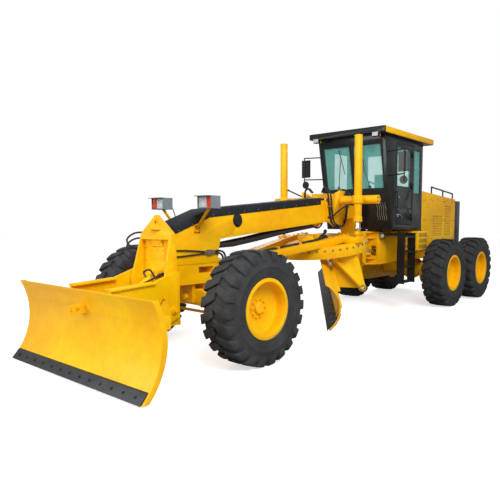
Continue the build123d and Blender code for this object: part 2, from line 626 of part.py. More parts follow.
BLADE_Z0 = -BLADE_DROP
BLADE_Y0 = -45              # cutting edge, ahead of the circle's middle
RAIL_Z = (BLADE_Z0 + 200, BLADE_Z0 + 430)


def blade_arc(depth):
    """Section line of the moldboard, moved back by a depth, as (y, z) points from the edge up."""
    chord = BLADE_H
    radius = (chord ** 2 / 4 + BLADE_BULGE ** 2) / (2 * BLADE_BULGE)
    half_angle = math.asin(chord / 2 / radius)
    points = []
    for step in range(9):
        angle = -half_angle + 2 * half_angle * step / 8
        points.append((
            BLADE_Y0 + BLADE_BULGE - radius + (radius + depth) * math.cos(angle),
            BLADE_Z0 + chord / 2 + (radius + depth) * math.sin(angle),
        ))
    return points


def blade_back_y(z):
    """Y of the moldboard's back at a height, in its own frame."""
    radius = (BLADE_H ** 2 / 4 + BLADE_BULGE ** 2) / (2 * BLADE_BULGE)
    rise = z - BLADE_Z0 - BLADE_H / 2
    return BLADE_Y0 + BLADE_BULGE - radius + math.sqrt((radius + BLADE_T) ** 2 - rise ** 2)


def moldboard():
    """Curved moldboard with the two slide rails on its back."""
    outline = blade_arc(0) + list(reversed(blade_arc(BLADE_T)))
    half = BLADE_LENGTH / 2
    body = along_blade(outline, -half, half)
    for z in RAIL_Z:
        back = blade_back_y(z)
        body += box(-half + 350, half - 350, back - 14, back + 46, z - 20, z + 20)
    return blade_frame(Pos(BLADE_SHIFT, 0, 0) * body)


def cutting_edge():
    """Bolt-on edge on the moldboard's front face, at the bottom."""
    front = [p for p in blade_arc(-RUN) if p[1] < BLADE_Z0 + EDGE_H]
    outer = [p for p in blade_arc(-RUN - 18) if p[1] < BLADE_Z0 + EDGE_H]
    low = (BLADE_Y0 - 20, BLADE_Z0 - 25)
    half = BLADE_LENGTH / 2
    shape = along_blade([low] + front + list(reversed(outer)), -half, half)
    return blade_frame(Pos(BLADE_SHIFT, 0, 0) * shape)


def blade_carrier():
    """Tipping frame between the circle's arms, with the guides that the moldboard slides in."""
    inner = ARM_S - 36 - CLEAR
    plate_x = inner - 34
    low, high = RAIL_Z
    y_front = max(blade_back_y(low), blade_back_y(high)) + 46 + RUN
    plate = along_blade([
        (TIP_Y + 55, TIP_Z - 30), (TIP_Y + 30, TIP_Z + 55), (y_front + 20, high + 50),
        (y_front, high + 50), (y_front, low - 50), (y_front + 20, low - 50),
    ], plate_x, inner)
    pin = rod((plate_x, TIP_Y, TIP_Z), (ARM_S + ARM_T + 30, TIP_Y, TIP_Z), TIP_PIN_R)
    frame = plate + mirror(plate, about=Plane.YZ) + pin + mirror(pin, about=Plane.YZ)
    frame += rod((-plate_x - 1, TIP_Y - 120, TIP_Z + 20), (plate_x + 1, TIP_Y - 120, TIP_Z + 20), 44)
    for z in RAIL_Z:
        back = blade_back_y(z)
        for sign in (-1, 1):
            x0 = sign * (plate_x - 13) - 47
            guide = box(x0, x0 + 94, back + 46 + RUN, y_front + 25, z - 45, z + 45)
            guide += box(x0, x0 + 94, back + 20, back + 60, z + 20 + RUN, z + 45)
            guide += box(x0, x0 + 94, back + 20, back + 60, z - 45, z - 20 - RUN)
            frame += guide
    return blade_frame(frame)


# ---- Rear frame ---------------------------------------------------------------------------
FRAME_FRONT_X = PIVOT_X - 150


def rear_frame():
    """Rails, articulation yoke and axle housing."""
    rail = side_plate([
        (FRAME_FRONT_X, CAB_FRAME_TOP), (FRAME_FRONT_X, RAIL_BOTTOM - 20), (-1500, RAIL_BOTTOM),
        (FRAME_REAR_X, RAIL_BOTTOM), (FRAME_REAR_X, RAIL_TOP), (-1900, RAIL_TOP), (-1650, CAB_FRAME_TOP),
    ], RAIL_Y0, RAIL_Y1)
    frame = both(rail)
    for x0, x1, z0, z1 in [
        (FRAME_FRONT_X - 30, FRAME_FRONT_X, RAIL_BOTTOM - 20, CAB_FRAME_TOP),
        (-1530, -1500, RAIL_BOTTOM, CAB_FRAME_TOP),
        (FRAME_REAR_X, FRAME_REAR_X + 40, RAIL_BOTTOM, RAIL_TOP),
    ]:
        frame += box(x0, x1, -RAIL_Y0 - 1, RAIL_Y0 + 1, z0, z1)
    recess = box(
        FRAME_FRONT_X - 40, FRAME_FRONT_X + 1, ARTIC_Y - 80, ARTIC_Y + 29, ARTIC_Z - 90, ARTIC_Z + 90)
    frame -= both(recess)
    for z0, z1 in FRONT_LUGS:
        for base in (z1 + CLEAR, z0 - CLEAR - 30):
            frame += flat_plate([
                (PIVOT_X, 120), (FRAME_FRONT_X - 1, RAIL_Y0), (FRAME_FRONT_X - 1, -RAIL_Y0), (PIVOT_X, -120),
            ], base, base + 30)
            frame += rod((PIVOT_X, 0, base), (PIVOT_X, 0, base + 30), 120)
        frame += rod((PIVOT_X, 0, z0 - 40), (PIVOT_X, 0, z1 + 40), 50)
    for x in (-2300, -3100, -4000):
        frame += both(box(x, x + 70, RAIL_Y1 - 1, HOOD_HALF_W, RAIL_TOP - 70, RAIL_TOP))
    housing_z = AXLE_Z
    frame += rod((TANDEM_X, -TANDEM_Y0 + 10, housing_z), (TANDEM_X, TANDEM_Y0 - 10, housing_z), 150)
    frame += Pos(TANDEM_X, 0, housing_z) * Sphere(250)
    frame += both(box(TANDEM_X - 150, TANDEM_X + 150, RAIL_Y0, RAIL_Y1, housing_z + 80, RAIL_BOTTOM + 1))
    trunnion = rod((TANDEM_X, TANDEM_Y0 - 20, housing_z), (TANDEM_X, TANDEM_Y1 - 60, housing_z), 110)
    return frame + both(trunnion)


def tandem(side):
    """Chain case between the two wheels of one side."""
    half = TANDEM_H / 2
    spacing = TANDEM_SPACING / 2
    case = box(TANDEM_X - spacing, TANDEM_X + spacing, TANDEM_Y0, TANDEM_Y1, AXLE_Z - half, AXLE_Z + half)
    for x in (TANDEM_X - spacing, TANDEM_X + spacing):
        case += rod((x, TANDEM_Y0, AXLE_Z), (x, TANDEM_Y1, AXLE_Z), half)
        case += rod((x, TANDEM_Y1 - 20, AXLE_Z), (x, WHEEL_Y + 4, AXLE_Z), HUB_R - 30 - RUN)
    case -= rod((TANDEM_X, TANDEM_Y0 - 1, AXLE_Z), (TANDEM_X, TANDEM_Y1 - 60 + RUN, AXLE_Z), 110 + RUN)
    return case if side > 0 else mirrored(case)


def engine_block():
    foot = box(-3500, -3400, 270, RAIL_Y0 + 20, RAIL_TOP, RAIL_TOP + 80)
    return box(-3700, -2400, -280, 280, RAIL_TOP + 40, 1900) + both(foot)


AIR_RECESS = 7
AIR_PANELS = [
    (HOOD_FRONT_X - 1280, HOOD_FRONT_X - 810, HOOD_BOTTOM + 210, HOOD_BOTTOM + 640),
    (HOOD_FRONT_X - 1760, HOOD_FRONT_X - 1435, HOOD_BOTTOM + 210, HOOD_BOTTOM + 860),
]


def hood():
    """Engine hood: a shell open underneath, with ribbed air panels let into its sides."""
    wall = 12
    outline = [
        (HOOD_FRONT_X, HOOD_BOTTOM), (HOOD_FRONT_X, HOOD_TOP_FRONT), (HOOD_REAR_X, HOOD_TOP_REAR),
        (HOOD_REAR_X, HOOD_BOTTOM),
    ]
    body = side_plate(outline, -HOOD_HALF_W, HOOD_HALF_W)
    cavity = [
        (HOOD_FRONT_X - wall, HOOD_BOTTOM - 1), (HOOD_FRONT_X - wall, HOOD_TOP_FRONT - wall),
        (HOOD_REAR_X + wall, HOOD_TOP_REAR - wall), (HOOD_REAR_X + wall, HOOD_BOTTOM - 1),
    ]
    body -= side_plate(cavity, -HOOD_HALF_W + wall, HOOD_HALF_W - wall)
    for x0, x1, z0, z1 in AIR_PANELS:
        body -= both(box(x0, x1, HOOD_HALF_W - AIR_RECESS, HOOD_HALF_W + 1, z0, z1))
        count = round((x1 - x0) / 70)
        pitch = (x1 - x0) / count
        for step in range(1, count):
            x = x0 + step * pitch
            body += both(box(x - 9, x + 9, HOOD_HALF_W - AIR_RECESS - 1, HOOD_HALF_W, z0 - 1, z1 + 1))
    return body


def radiator_guard():
    """Radiator housing behind the hood, with a barred air outlet."""
    half = HOOD_HALF_W - 20
    top = HOOD_TOP_REAR - 30
    body = box(GUARD_REAR_X, HOOD_REAR_X - RUN, -half, half, RAIL_TOP + RUN, top)
    low = RAIL_TOP + 110
    high = top - 90
    body -= box(GUARD_REAR_X - 1, GUARD_REAR_X + 60, -half + 120, half - 120, low, high)
    count = 9
    for step in range(1, count):
        z = low + (high - low) * step / count
        body += box(GUARD_REAR_X + 5, GUARD_REAR_X + 25, -half + 119, half - 119, z - 12, z + 12)
    return body


def hood_rail():
    z = 2390
    rail = rod((-2900, 500, z), (-4050, 500, z - 90), 17)
    for x in (-2900, -3500, -4050):
        rail += rod((x, 500, hood_top(x) + RUN), (x, 500, z - 90 * (x + 2900) / -1150), 15)
    return both(rail)


def hood_top(x):
    """Height of the hood's top at x, on its high side under a 15 mm post."""
    slope = (HOOD_TOP_FRONT - HOOD_TOP_REAR) / (HOOD_FRONT_X - HOOD_REAR_X)
    return HOOD_TOP_FRONT + slope * (x + 15 - HOOD_FRONT_X)


def rear_hitch():
    """Rear bumper beam with a tow clevis."""
    beam = box(HITCH_REAR_X + 120, FRAME_REAR_X - 0.2, -900, 900, 900, 1060)
    lug = both(box(HITCH_REAR_X, HITCH_REAR_X + 125, 40, 75, 920, 1040))
    lug -= rod((HITCH_REAR_X + 55, -100, 980), (HITCH_REAR_X + 55, 100, 980), 25)
    return beam + lug


# ---- Cab ----------------------------------------------------------------------------------
def cab_front_x(z):
    """X of the sloping windscreen plane at a height."""
    slope = (CAB_FRONT_TOP - CAB_FRONT_BOTTOM) / (CAB_TOP - CAB_FLOOR)
    return CAB_FRONT_BOTTOM + slope * (z - CAB_FLOOR)


def cab_prism(inset, z0, z1, top_inset=None):
    """Solid of the cab's outside, moved in by a wall thickness, between two heights."""
    front0 = cab_front_x(z0) - inset
    front1 = cab_front_x(z1) - inset
    rear = CAB_REAR_X + inset
    half = CAB_HALF_W - inset
    outline = [(front0, z0), (front1, z1), (rear, z1), (rear, z0)]
    return side_plate(outline, -half, half)


DOOR = dict(x0=-1560, x1=-900, z0=CAB_FLOOR + 90, z1=CAB_TOP - 100)
DOOR_HINGES = [DOOR["z0"] + 60 + share * (DOOR["z1"] - DOOR["z0"] - 120) for share in (0.07, 0.5, 0.93)]
HEADER = 160                # cab top down to the top of the windows
SILL_Z = CAB_FLOOR + 740
PANES_FRONT = [
    (-CAB_HALF_W + 100, -40, SILL_Z, CAB_TOP - HEADER), (40, CAB_HALF_W - 100, SILL_Z, CAB_TOP - HEADER),
    (-CAB_HALF_W + 100, -100, SILL_Z - 300, SILL_Z - 70),
]
PANE_SIDE = (CAB_REAR_X + 110, CAB_REAR_X + 360, SILL_Z - 50, CAB_TOP - HEADER)
PANE_REAR = (CAB_HALF_W - 180, SILL_Z + 80, CAB_TOP - HEADER)


def cab_shell():
    """Cab walls with window and door openings, and the floor."""
    shell = cab_prism(0, CAB_FLOOR, CAB_TOP) - cab_prism(CAB_WALL, CAB_FLOOR + 40, CAB_TOP + 1)
    far = CAB_HALF_W + 1
    door = box(DOOR["x0"], DOOR["x1"], -far, far, DOOR["z0"], DOOR["z1"])
    shell -= door
    x0, x1, side_z0, side_z1 = PANE_SIDE
    shell -= box(x0, x1, -far, far, side_z0, side_z1)
    for y0, y1, z0, z1 in PANES_FRONT:
        shell -= box(cab_front_x(z0) - 300, 0, y0, y1, z0, z1)
    half, z0, z1 = PANE_REAR
    shell -= box(CAB_REAR_X - 1, CAB_REAR_X + CAB_WALL + 1, -half, half, z0, z1)
    for z in DOOR_HINGES:
        shell += both(hinge_part(z - 60, z - RUN, -1))
    mounts = both(box(-1000, -900, RAIL_Y0, RAIL_Y1, CAB_FRAME_TOP + RUN, CAB_FLOOR + 5))
    mounts += both(box(-1640, -1540, RAIL_Y0, RAIL_Y1, CAB_FRAME_TOP + RUN, CAB_FLOOR + 5))
    return shell + mounts


def cab_glass():
    """Fixed panes of the cab."""
    glass = Part()
    pane = 6
    mid = CAB_WALL / 2
    for y0, y1, z0, z1 in PANES_FRONT:
        a0 = cab_front_x(z0) - mid
        a1 = cab_front_x(z1) - mid
        glass += side_plate([
            (a0, z0 + RUN), (a1, z1 - RUN), (a1 - pane, z1 - RUN), (a0 - pane, z0 + RUN),
        ], y0 + RUN, y1 - RUN)
    x0, x1, z0, z1 = PANE_SIDE
    y0 = CAB_HALF_W - mid
    glass += both(box(x0 + RUN, x1 - RUN, y0, y0 + pane, z0 + RUN, z1 - RUN))
    half, z0, z1 = PANE_REAR
    x0 = CAB_REAR_X + mid
    glass += box(x0, x0 + pane, -half + RUN, half - RUN, z0 + RUN, z1 - RUN)
    return glass


def cab_roof():
    roof = box(ROOF_REAR_X, ROOF_FRONT_X, -ROOF_HALF_W, ROOF_HALF_W, CAB_TOP + RUN, ROOF_TOP)
    return roof + both(box(ROOF_FRONT_X - 60, ROOF_FRONT_X + 30, 560, 680, CAB_TOP - 70, CAB_TOP + 10))


HINGE_X = DOOR["x0"]
HINGE_Y = CAB_HALF_W + 16
HINGE_R = 13


def hinge_part(z0, z1, toward):
    """Hinge knuckle on the door line with its leaf; toward is +1 for the door, -1 for the cab."""
    knuckle_part = rod((HINGE_X, HINGE_Y, z0), (HINGE_X, HINGE_Y, z1), HINGE_R)
    leaf = box(min(0, toward * 60), max(0, toward * 60), CAB_HALF_W - 1 - HINGE_Y, -4, z0, z1)
    return knuckle_part + Pos(HINGE_X, HINGE_Y, 0) * leaf


DOOR_PANE = (DOOR["x0"] + 80, DOOR["x1"] - 80, SILL_Z + 50, DOOR["z1"] - 80)
DOOR_T = 40


def door(side):
    """Cab door with its window opening, hinges at the rear edge and a grab bar."""
    edge = CLEAR
    y0 = CAB_HALF_W - DOOR_T
    frame = box(DOOR["x0"] + edge, DOOR["x1"] - edge, y0, CAB_HALF_W, DOOR["z0"] + edge, DOOR["z1"] - edge)
    x0, x1, z0, z1 = DOOR_PANE
    frame -= box(x0, x1, y0 - 10, CAB_HALF_W + 10, z0, z1)
    for z in DOOR_HINGES:
        frame += hinge_part(z + RUN, z + 60, 1)
    bar_x = DOOR["x1"] - 40
    bar_y = CAB_HALF_W + 35
    low = DOOR["z0"] + 300
    frame += rod((bar_x, bar_y, low), (bar_x, bar_y, low + 300), 11)
    for z in (low + 15, low + 285):
        frame += rod((bar_x, CAB_HALF_W - 5, z), (bar_x, bar_y, z), 9)
    return frame if side > 0 else mirrored(frame)


def door_glass(side):
    """Pane of a cab door."""
    x0, x1, z0, z1 = DOOR_PANE
    y0 = CAB_HALF_W - DOOR_T / 2
    pane = box(x0 + RUN, x1 - RUN, y0, y0 + 6, z0 + RUN, z1 - RUN)
    return pane if side > 0 else mirrored(pane)


def cab_fittings():
    """Seat on its pedestal and the steering column."""
    floor = CAB_FLOOR + 40 + RUN
    back = CAB_REAR_X + 150
    seat = box(back + 60, back + 510, -240, 240, floor + 400, floor + 510)
    seat += box(back, back + 80, -230, 230, floor + 490, floor + 1050)
    seat += box(back + 160, back + 410, -150, 150, floor, floor + 410)
    console = box(CAB_FRONT_BOTTOM - 290, CAB_FRONT_BOTTOM - 170, -90, 90, floor, floor + 700)
    return seat + console


LADDER_X = (-1330, -900)


def ladder():
    """Hanging steps ahead of each door: two plates with treads between them."""
    y0 = CAB_HALF_W + 60
    y1 = y0 + 150
    x0, x1 = LADDER_X
    steps = Part()
    for x in (x0, x1 - 12):
        steps += box(x, x + 12, y0, y1, 540, CAB_FLOOR - 60)
    for z in (560, 830, 1100, 1370):
        steps += box(x0 + 6, x1 - 6, y0, y1, z, z + 25)
    steps += box(x0, x1, RAIL_Y1 + RUN, y0 + 2, CAB_FLOOR - 110, CAB_FLOOR - 60)
    return steps


def mirrors():
    """Mirror frames bent from tube, each with a tall mirror and a round one under it."""
    x = CAB_FRONT_TOP - 40
    foot_x = x - 110
    out = CAB_HALF_W + 360
    z1, z0 = CAB_TOP - 290, CAB_TOP - 700
    wall = CAB_HALF_W - 30
    beyond = box(foot_x - 200, x + 100, CAB_HALF_W + RUN, out + 200, z0 - 300, z1 + 100)
    frame = rod((foot_x, wall, z1), (x, out, z1), 11) & beyond
    frame += rod((foot_x - 60, wall, z0), (x, out, z0), 11) & beyond
    frame += rod((x, out, z1 + 11), (x, out, z0 - 130), 11)
    frame += box(x - 35, x - 9, out - 120, out + 70, z0 + 40, z1 - 40)
    frame += rod((x - 30, out - 20, z0 - 100), (x - 5, out - 20, z0 - 100), 70)
    return both(frame)


def side_boxes():
    rear = HOOD_FRONT_X + 5
    left = box(rear, -1680, RAIL_Y1 + RUN, 800, RAIL_TOP - 40, 1480)
    right = box(rear, -1680, -800, -RAIL_Y1 - RUN, RAIL_TOP - 40, 1480)
    return left + right


def articulation_cylinders():
    rear = -1500
    front = -970
    side = rod((rear + RUN, ARTIC_Y - 30, ARTIC_Z), (front, ARTIC_Y - 30, ARTIC_Z), ARTIC_BARREL_R)
    side -= rod((rear + 60, ARTIC_Y - 30, ARTIC_Z), (front + 1, ARTIC_Y - 30, ARTIC_Z), ARTIC_ROD_R + RUN)
    return both(side)


def artic_rod():
    """Rod and eye of one articulation cylinder (left side)."""
    y = ARTIC_Y - 30
    bar = rod((-1250, y, ARTIC_Z), (ARTIC_EYE_X, y, ARTIC_Z), ARTIC_ROD_R)
    half = ARTIC_EYE_H / 2
    return bar + rod((ARTIC_EYE_X, y, ARTIC_Z - half), (ARTIC_EYE_X, y, ARTIC_Z + half), 45)


LAMP_BOX = (3190, 3340, 330, 570, 1795, 1945)
LAMP_FOOT_Z = 1560


def headlamps():
    """Lamp housings with hooded fronts on stalks from the gooseneck."""
    x0, x1, y0, y1, z0, z1 = LAMP_BOX
    lamp = box(x0, x1, y0, y1, z0, z1)
    lamp -= box(x1 - 45, x1 + 1, y0 + 8, y1 - 8, z0 + 8, z1 - 8)
    lamp += box(x1 - 1, x1 + 50, y0, y1, z1 - 8, z1)
    seat = BEAM_HALF_W + RUN
    mid_x = (x0 + x1) / 2 - 10
    mid_y = (y0 + y1) / 2
    lamp += rod((mid_x, mid_y, z0 + 10), (mid_x - 20, seat + 20, LAMP_FOOT_Z), 18)
    lamp += box(mid_x - 55, mid_x + 15, seat, seat + 24, LAMP_FOOT_Z - 46, LAMP_FOOT_Z + 34)
    return both(lamp)


def hoses():
    """Sleeved hose bundle under the gooseneck, from the head to the saddle."""
    radius = 32
    head = HEAD_REAR_X - RUN
    under = beam_top(LIFT_X + 350) - BEAM_DEPTH - radius - RUN
    behind_head = side_plate([
        (LIFT_X, 1280), (head + 20, 1280), (head, beam_top(HEAD_REAR_X) - BEAM_DEPTH + 10),
        (head, BEAM_REAR_TOP), (LIFT_X, BEAM_REAR_TOP),
    ], 0, BEAM_HALF_W)
    route = [
        (head + 50, 109, 1328), (2560, 118, 1340), (2100, 112, 1400), (1650, 118, 1470),
        (1200, 112, 1530), (LIFT_X + 350, 118, under),
    ]
    return both(hose(route, radius, 400) & behind_head)


def hose(route, radius, bend):
    """Round hose along straight runs joined by arcs."""
    line = FilletPolyline(*route, radius=bend)
    return sweep((line ^ 0) * Circle(radius), path=line)


def main():
    os.makedirs("parts", exist_ok=True)
    wheels = {
        "front": (FRONT_AXLE_X, 170),
        "mid": (TANDEM_X + TANDEM_SPACING / 2, 235),
        "rear": (TANDEM_X - TANDEM_SPACING / 2, 235),
    }
    for place, (x, reach) in wheels.items():
        for name, side in (("left", 1), ("right", -1)):
            write(f"tyre_{place}_{name}", tyre(x, side))
            write(f"rim_{place}_{name}", rim(x, side, reach))
    for name, side in (("left", 1), ("right", -1)):
        write(f"tandem_{name}", tandem(side))
        write(f"door_{name}", door(side))
        write(f"door_glass_{name}", door_glass(side))
        write(f"lean_bracket_{name}", lean_bracket() if side > 0 else mirrored(lean_bracket()))
        write(f"knuckle_{name}", knuckle() if side > 0 else mirrored(knuckle()))
        write(f"artic_rod_{name}", artic_rod() if side > 0 else mirrored(artic_rod()))
    for make in (
        front_axle, tie_rod, gooseneck, beam_cover, lift_saddle, lift_barrels, dozer_mount, dozer_blade,
        dozer_edge, dozer_rod, drawbar_ball, drawbar, circle, blade_carrier, moldboard, cutting_edge,
        lift_rods, rear_frame, engine_block, hood, radiator_guard,
        hood_rail, rear_hitch, cab_shell, cab_glass, cab_roof, cab_fittings, ladder, mirrors, side_boxes,
        articulation_cylinders, headlamps, hoses,
    ):
        write(make.__name__, make())


main()
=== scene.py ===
import json
import math
import bmesh
import bpy
from mathutils import Matrix, Vector


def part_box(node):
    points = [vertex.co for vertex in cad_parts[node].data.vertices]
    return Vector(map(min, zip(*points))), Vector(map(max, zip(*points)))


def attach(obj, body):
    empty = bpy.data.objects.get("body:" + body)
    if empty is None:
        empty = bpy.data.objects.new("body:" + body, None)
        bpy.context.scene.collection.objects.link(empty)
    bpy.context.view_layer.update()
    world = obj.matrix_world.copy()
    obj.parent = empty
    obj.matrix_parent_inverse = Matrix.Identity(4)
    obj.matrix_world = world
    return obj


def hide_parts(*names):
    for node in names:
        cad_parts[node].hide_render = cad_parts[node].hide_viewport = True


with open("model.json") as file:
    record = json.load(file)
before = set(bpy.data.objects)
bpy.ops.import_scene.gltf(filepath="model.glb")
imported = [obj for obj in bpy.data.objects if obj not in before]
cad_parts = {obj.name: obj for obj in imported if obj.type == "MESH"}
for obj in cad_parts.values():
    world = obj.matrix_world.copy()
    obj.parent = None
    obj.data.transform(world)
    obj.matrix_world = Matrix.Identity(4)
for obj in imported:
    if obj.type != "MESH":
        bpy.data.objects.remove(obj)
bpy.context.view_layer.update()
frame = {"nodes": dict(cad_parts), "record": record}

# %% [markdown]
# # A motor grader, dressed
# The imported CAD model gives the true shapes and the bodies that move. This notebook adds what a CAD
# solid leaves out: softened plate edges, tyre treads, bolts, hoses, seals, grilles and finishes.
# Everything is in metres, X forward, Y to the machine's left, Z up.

scene = bpy.context.scene

# %% [markdown]
# ## Mesh tools
# A maker works from plate, bar and castings. The helpers below are the same: a block between two
# corners, a round bar between two points, a plate cut to an outline, a ball, and a ring turned on a
# lathe. Each is one bmesh operator plus a move, so that a piece reads like a cutting list.

# %% Stock shapes
def block(bm, low, high):
    """Plain block between two corners."""
    low, high = Vector(low), Vector(high)
    made = bmesh.ops.create_cube(bm, size=1)["verts"]
    bmesh.ops.scale(bm, vec=high - low, verts=made)
    bmesh.ops.translate(bm, vec=(low + high) / 2, verts=made)
    return made


def bar(bm, start, end, radius, end_radius=None, sides=24):
    """Round bar, or a cone if the end has its own radius."""
    start, end = Vector(start), Vector(end)
    line = end - start
    turn = Vector((0, 0, 1)).rotation_difference(line).to_matrix().to_4x4()
    return bmesh.ops.create_cone(
        bm, cap_ends=True, segments=sides, radius1=radius, radius2=end_radius or radius,
        depth=line.length, matrix=Matrix.Translation((start + end) / 2) @ turn)["verts"]


def plate(bm, outline, depth):
    """Plate cut to an outline of points, with its thickness as a vector."""
    face = bm.faces.new([bm.verts.new(point) for point in outline])
    swept = bmesh.ops.extrude_face_region(bm, geom=[face])["geom"]
    moved = [item for item in swept if isinstance(item, bmesh.types.BMVert)]
    bmesh.ops.translate(bm, vec=depth, verts=moved)


def ball(bm, middle, radius):
    """Round ball."""
    made = bmesh.ops.create_uvsphere(bm, u_segments=20, v_segments=12, radius=radius)["verts"]
    bmesh.ops.translate(bm, vec=middle, verts=made)


def turned(bm, profile, steps):
    """Ring turned about the Y axis from (radius, y) points that close on themselves."""
    verts = [bm.verts.new((radius, y, 0)) for radius, y in profile]
    edges = [bm.edges.new((a, b)) for a, b in zip(verts, verts[1:] + verts[:1])]
    before = set(bm.verts) - set(verts)
    bmesh.ops.spin(bm, geom=verts + edges, cent=(0, 0, 0), axis=(0, 1, 0), angle=2 * math.pi,
                   steps=steps, use_merge=True)
    return [vert for vert in bm.verts if vert not in before]


def sharp_edges(bm, angle):
    """Edges whose two faces meet at more than an angle in degrees."""
    limit = math.radians(angle)
    return [e for e in bm.edges if len(e.link_faces) == 2 and e.calc_face_angle() > limit]


def soften(bm, width, angle=35, segments=2):
    """Round off the sharp edges."""
    bmesh.ops.bevel(bm, geom=sharp_edges(bm, angle), offset=width, offset_type="OFFSET",
                    segments=segments, profile=0.5, affect="EDGES", clamp_overlap=True, material=-1)


# %% Making a piece
def piece(name, bm, finish, body, stands_for=(), smooth=32):
    """Turn a bmesh into a piece that rides on a body, in the given finish."""
    bmesh.ops.recalc_face_normals(bm, faces=bm.faces)
    mesh = bpy.data.meshes.new(name)
    bm.to_mesh(mesh)
    bm.free()
    mesh.polygons.foreach_set("use_smooth", [True] * len(mesh.polygons))
    mesh.set_sharp_from_angle(angle=math.radians(smooth))
    mesh.materials.append(finish)
    made = bpy.data.objects.new(name, mesh)
    scene.collection.objects.link(made)
    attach(made, body)
    if stands_for:
        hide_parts(*stands_for)
    print(f"{name}: {len(mesh.polygons)} faces on {body}")
    return made


def everything(bm):
    return bm.verts[:] + bm.edges[:] + bm.faces[:]


def mirrored(bm):
    """Add the mirror image on the machine's other side."""
    bmesh.ops.mirror(bm, geom=everything(bm), axis="Y", merge_dist=-1, matrix=Matrix.Identity(4))


def both_sides(name, build, finish, body):
    """A piece drawn on the left and mirrored to the right."""
    bm = bmesh.new()
    build(bm)
    mirrored(bm)
    piece(name, bm, finish, body)


def flipped(bm):
    """Turn a piece drawn for the left into the right one."""
    bmesh.ops.scale(bm, vec=(1, -1, 1), verts=bm.verts)


def centre(node):
    """Middle of a CAD node's box."""
    low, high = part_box(node)
    return (Vector(low) + Vector(high)) / 2


SIDES = {"left": 1, "right": -1}

# %% [markdown]
# ## Material tools
# A finish is a small sum over the surface: a broad drift of tone, a fine grain, a little dirt. Writing
# it as arithmetic keeps it readable, so a Number wraps a node socket and its operators add Math nodes.

# %% Numbers and finishes
class Number:
    """A number that varies over a surface."""

    def __init__(self, finish, socket):
        self.finish, self.socket = finish, socket

    def _math(self, operation, *terms):
        return self.finish.node("ShaderNodeMath", {"operation": operation}, dict(enumerate(terms)))

    def __add__(self, other):
        return self._math("ADD", self, other)

    def __rsub__(self, other):
        return self._math("SUBTRACT", other, self)

    def __mul__(self, other):
        return self._math("MULTIPLY", self, other)

    __radd__ = __add__
    __rmul__ = __mul__

    def between(self, low, high):
        """0 at low and under, 1 at high and over."""
        return self.finish.node("ShaderNodeMapRange", {"clamp": True}, {0: self, 1: low, 2: high})


class Finish:
    """One material, built node by node."""

    def __init__(self, name):
        self.material = bpy.data.materials.new(name)
        self.material.use_nodes = True
        self.tree = self.material.node_tree
        self.shader = self.tree.nodes["Principled BSDF"]

    def node(self, kind, settings=None, inputs=None, out=0):
        """Add a node, set it, feed its sockets and give one of its outputs."""
        node = self.tree.nodes.new(kind)
        for name, value in (settings or {}).items():
            if name == "stops":
                self._stops(node.color_ramp, value)
            else:
                setattr(node, name, value)
        for key, value in (inputs or {}).items():
            self._feed(node.inputs[key], value)
        return Number(self, node.outputs[out])

    def _stops(self, ramp, stops):
        while len(ramp.elements) < len(stops):
            ramp.elements.new(1)
        for element, (place, colour) in zip(ramp.elements, stops):
            element.position, element.color = place, (*colour, 1)

    def _feed(self, socket, value):
        if isinstance(value, Number):
            self.tree.links.new(value.socket, socket)
        else:
            socket.default_value = value

    def place(self):
        return self.node("ShaderNodeTexCoord", out="Object")

    def noise(self, scale, detail=3, rough=0.55, stretch=None):
        """Fractal noise over the piece, with an optional stretch along its axes."""
        place = self.place()
        if stretch:
            place = self.node("ShaderNodeMapping", {}, {"Vector": place, "Scale": stretch})
        return self.node("ShaderNodeTexNoise", {}, {
            "Vector": place, "Scale": scale, "Detail": detail, "Roughness": rough}, out="Fac")

    def mixed(self, share, first, second):
        """Two colours mixed by a share."""
        return self.node("ShaderNodeMix", {"data_type": "RGBA"}, {0: share, 6: first, 7: second}, out=2)

    def bump(self, height, distance, strength=1.0):
        return self.node("ShaderNodeBump", {}, {
            "Height": height, "Distance": distance, "Strength": strength}, out="Normal")

    def surface(self, **values):
        """Feed the shader; a word's underscore stands for a space."""
        for name, value in values.items():
            self._feed(self.shader.inputs[name.replace("_", " ")], value)
        return self.material


def rgb(red, green, blue):
    """Colour of a paint chart, 0-255 as it looks, as the linear colour that a shader takes."""
    def linear(level):
        level /= 255
        return level / 12.92 if level <= 0.04045 else ((level + 0.055) / 1.055) ** 2.4
    return tuple(linear(level) for level in (red, green, blue))


def opaque(colour):
    return (*colour, 1)

# %% [markdown]
# ## Paint
# Construction machines are sprayed in one thick, slightly orange-peeled coat. The tone drifts a little
# over big panels, road dust gathers low down and the coat reflects softly. A painted picture would need
# unwrapping and show its seams, so the finish is noise on each piece's own coordinates.

# %% Paint finishes
def painted(name, light, deep, gloss=0.42, coat=0.05, dust=0.16, soil=rgb(150, 120, 82)):
    paint = Finish(name)
    drift = paint.noise(0.8, 4) * 0.7 + paint.noise(14, 3) * 0.3
    tone = paint.node("ShaderNodeValToRGB", {"stops": [(0.36, deep), (0.62, light)]}, {"Fac": drift})
    height = paint.node("ShaderNodeSeparateXYZ", {}, {0: paint.place()}, out="Z")
    splash = (1 - height.between(0.1, 1.3)) * paint.noise(6, 5, 0.7).between(0.42, 0.75) * dust
    streak = paint.noise(9, 4, 0.6, (1, 1, 0.12)).between(0.58, 0.85) * 0.06
    colour = paint.mixed(splash + streak, tone, opaque(soil))
    peel = paint.noise(190, 2)
    return paint.surface(
        Base_Color=colour, Roughness=splash * 0.5 + paint.noise(22, 3) * 0.1 + (gloss - 0.05),
        Coat_Weight=coat, Coat_Roughness=0.15, Specular_IOR_Level=0.18,
        Normal=paint.bump(peel, 0.0004, 0.35))


